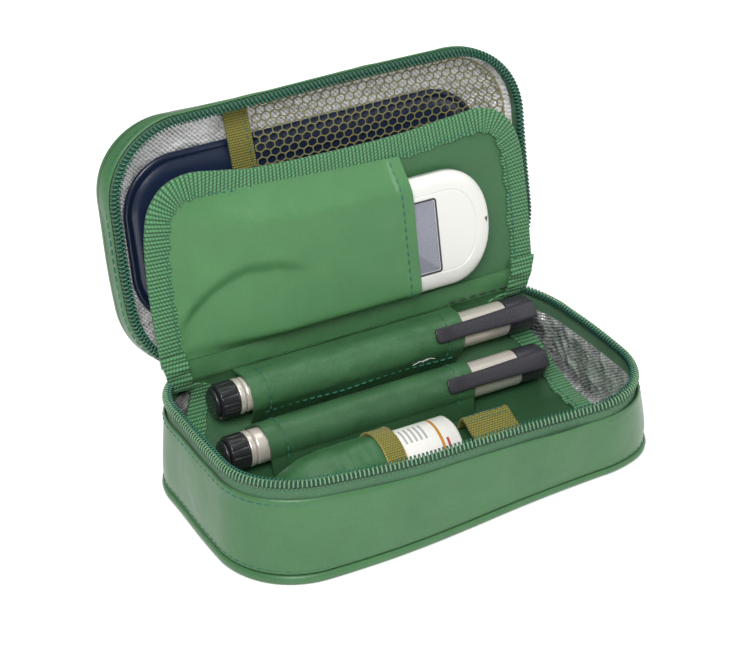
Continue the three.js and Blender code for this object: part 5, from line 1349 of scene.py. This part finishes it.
# Vial, pouch, loop
def build_vial():
    spin = (VIAL_Y, VIAL_Z)
    body = rounded_profile([(-50, 0), (-50, 12.4), (-48.8, 13.4), (-20, 13.4), (4.0, 13.4), (8.2, 13.1),
                            (9.5, 11.6), (9.5, 6.0), (9.2, 0)], 1.0)
    piece("vial_bottle", turned(body, spin, 96), GLASS, "vial", ["vial_body"], crease=50)
    cap = rounded_profile([(-58.3, 0), (-58.3, 11.6), (-57.5, 12.6), (-57.0, 13.4), (-51, 13.4), (-50.3, 12.8),
                           (-50.3, 0)], 0.4)

    def knurl(x, turn):
        return 0.18 * np.sin(turn * 48) * smooth(x, -57.2, -56.6) * (1 - smooth(x, -51.4, -50.8))

    piece("vial_screw_cap", turned(cap, spin, 288, knurl), CASING, "vial", ["vial_cap"], crease=50)
    wrap = [(-44, 13.5), (-44, 13.55), (-43.9, 13.72), (-20, 13.74), (7.4, 13.72), (7.5, 13.55), (7.5, 13.45),
            (-20, 13.42), (-44, 13.5)]
    piece("vial_paper_label", turned(wrap, spin, 96), LABEL, "vial", ["vial_label"], crease=60)
    x = np.concatenate([np.linspace(-74, -66, 12), np.linspace(-64.5, -26, 44), np.linspace(-25.4, -20.0, 10)])
    turn = np.linspace(0, 2 * math.pi, 181)
    grow = np.clip((x + 74) / 26, 0, 1)
    round_share = np.sqrt(np.sin(np.pi / 2 * grow))[:, None]
    wide, tall = 12.0 + (14.7 - 12.0) * round_share, 3.0 + (14.7 - 3.0) * round_share
    folds = 0.55 * np.sin(9 * turn + 0.8 * np.sin(2 * turn))[None, :]
    folds = folds * (0.4 + 0.6 * smooth(-np.abs(x[:, None] + 30), -18, -2))
    at = together(x[:, None], 14 * np.cos(turn)[None, :], 14 * np.sin(turn)[None, :])
    soft = folds + 0.4 * swell(at, 17, 19, 3) * (1 - smooth(x, -31, -28))[:, None]
    soft = np.clip(soft, -0.35, 1.0) * (1 - 0.5 * smooth(x, -31, -29))[:, None]
    pinch = -0.15 * np.exp(-((x + 24.5) / 3.5) ** 2)[:, None]
    grid = together(x[:, None], VIAL_Y + (wide + soft + pinch) * np.cos(turn),
                    VIAL_Z + (tall + soft + pinch) * np.sin(turn))
    uv = together(x[:, None], 14.5 * turn[None, :])
    made = piece("vial_pouch_leather", shell(grid, 0.8, uv), GREEN_SHADED, "base",
                 ["vial_pouch"])
    x = np.linspace(-29.2, -19.8, 15)
    radius = 15.45 + 0.3 * smooth(-np.abs(x[:, None] + 24.5), -4.7, -3.6)
    radius = radius + 0.22 * np.abs(np.sin(15 * turn))[None, :]
    grid = together(x[:, None], VIAL_Y + radius * np.cos(turn), VIAL_Z + radius * np.sin(turn))
    uv = together(15.5 * turn[None, :], x[:, None])
    made = piece("pouch_elastic", shell(grid, 0.75, uv), ELASTIC, "base", ["pouch_elastic_band"])
    off = together(0.0, np.cos(turn), np.sin(turn))
    for number, at_x in enumerate((-29.0, -20.0)):
        row = np.array([at_x, VIAL_Y, VIAL_Z]) + off * 16.3
        stitches(f"pouch_elastic_edge_{number}", row, off, (1.3, 1.2, 0.36), finish=GOLD_THREAD)


def build_loop():
    """The olive loop on the tray's floor: webbing that rises from its sewn back flap to a crest and
    slopes down to the front one."""
    line = curve([(5.4, 6.35), (4.4, 6.7), (3.2, 9.4), (2.0, 12.2), (0.4, 13.3), (-2.4, 12.8), (-7, 10.4),
                  (-13, 8.1), (-20, 7.3), (-30, 7.0), (-40, 6.6), (-45.4, 6.35)], 62)
    y, z = line.T
    x = np.linspace(30.2, 53.8, 25)
    grid = together(x[None, :], y[:, None], z[:, None])
    grid[..., 2] += 0.25 * swell(grid, 18, 15, 2) * smooth(z, 7, 9)[:, None]
    uv = together(lengths(line)[:, None], x[None, :])
    made = piece("elastic_loop_band", shell(grid, 1.15, uv), OLIVE, "base", ["elastic_loop"])
    x = np.linspace(31.6, 52.4, 40)
    for number, (y, z) in enumerate(((0.3, 13.9), (-2.9, 13.3), (-41.5, 7.1))):
        stitches(f"loop_stitches_{number}", together(x, y, z), np.array([0, 0, 1.0]), (2.8, 2.1, 0.30))


build_vial()
build_loop()

# Parts kept from the CAD model
for node, finish in (("zip_slider_left", ZIP_METAL), ("zip_slider_right", ZIP_METAL),
                     ("zip_pull_left", ZIP_METAL), ("zip_pull_right", ZIP_METAL), ("meter_strip_port", BLACK)):
    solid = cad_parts[node]
    for place in solid.material_slots:
        place.material = finish.made


# Floor, light and camera
def build_stage():
    """A floor that is white to the camera, a pale world that lights softly, and three area lamps."""
    floor = Finish("studio_floor", "f4f4f4", 0.9)
    ray = floor.node("ShaderNodeLightPath", {}, {}, "Is Camera Ray")
    glossy = Amount(floor, ray.socket.node.outputs["Is Glossy Ray"])
    clear = Amount(floor, ray.socket.node.outputs["Is Transmission Ray"])
    seen = (ray + glossy + clear).held()
    floor.shader.inputs["Emission Strength"].default_value = 1.0
    floor.give("Emission Color", floor.blend("000000", (0.42, 0.42, 0.42, 1), seen))
    mesh = bpy.data.meshes.new("studio_floor")
    mesh.from_pydata([(-6, -6, 0), (6, -6, 0), (6, 6, 0), (-6, 6, 0)], [], [(0, 1, 2, 3)])
    mesh.materials.append(floor.made)
    ground = bpy.data.objects.new("studio_floor", mesh)
    bpy.context.collection.objects.link(ground)
    world = bpy.data.worlds.new("studio")
    bpy.context.scene.world = world
    world.use_nodes = True
    nodes, links = world.node_tree.nodes, world.node_tree.links
    nodes.clear()
    end, lamp, white, mix, path, add = [nodes.new("ShaderNode" + kind) for kind in (
        "OutputWorld", "Background", "Background", "MixShader", "LightPath", "Math")]
    add.operation, add.use_clamp = "ADD", True
    lamp.inputs[0].default_value, lamp.inputs[1].default_value = (0.97, 0.98, 1.0, 1), 0.21
    white.inputs[0].default_value, white.inputs[1].default_value = (1, 1, 1, 1), 1.0
    links.new(path.outputs["Is Camera Ray"], add.inputs[0])
    links.new(path.outputs["Is Transmission Ray"], add.inputs[1])
    links.new(add.outputs[0], mix.inputs[0])
    links.new(lamp.outputs[0], mix.inputs[1])
    links.new(white.outputs[0], mix.inputs[2])
    links.new(mix.outputs[0], end.inputs["Surface"])
    target = np.array([0.0, 0.02, 0.06])
    for name, place, size, watts in (("key", (-0.7, -1.05, 1.4), 0.9, 31), ("fill", (1.3, -0.9, 0.8), 1.2, 6),
                                     ("top", (0.1, 0.2, 1.8), 1.2, 9)):
        light = bpy.data.lights.new(name, "AREA")
        light.energy, light.size = watts, size
        lamp_object = bpy.data.objects.new(name, light)
        bpy.context.collection.objects.link(lamp_object)
        lamp_object.matrix_world = facing(place, target - np.array(place))


def matrix(right, up, back, place):
    """A matrix of three directions and a place, which are its columns."""
    table = np.eye(4)
    table[:3] = np.array([right, up, back, place]).T
    return Matrix(table.tolist())


def facing(place, aim):
    """A matrix at place whose -Z points along aim."""
    back = -unit(aim)
    right = unit(np.cross(np.array([0, 0, 1.0]), back))
    return matrix(right, np.cross(back, right), back, place)


def build_camera():
    """A long lens to the front left, from above, rolled a little, as in the photograph."""
    lens = bpy.data.cameras.new("photo_camera")
    lens.sensor_fit, lens.sensor_width, lens.lens = "HORIZONTAL", 36.0, 105.69
    lens.clip_start, lens.clip_end = 0.05, 20
    camera = bpy.data.objects.new("photo_camera", lens)
    bpy.context.collection.objects.link(camera)
    camera.matrix_world = matrix((0.8815993, -0.4704312, -0.0384341), (0.2565018, 0.4091482, 0.8756738),
                                 (-0.3962190, -0.7818518, 0.4813712), (-0.391986, -0.749279, 0.534047))
    bpy.context.scene.camera = camera


build_stage()
build_camera()
bpy.context.scene.view_settings.view_transform = "Standard"
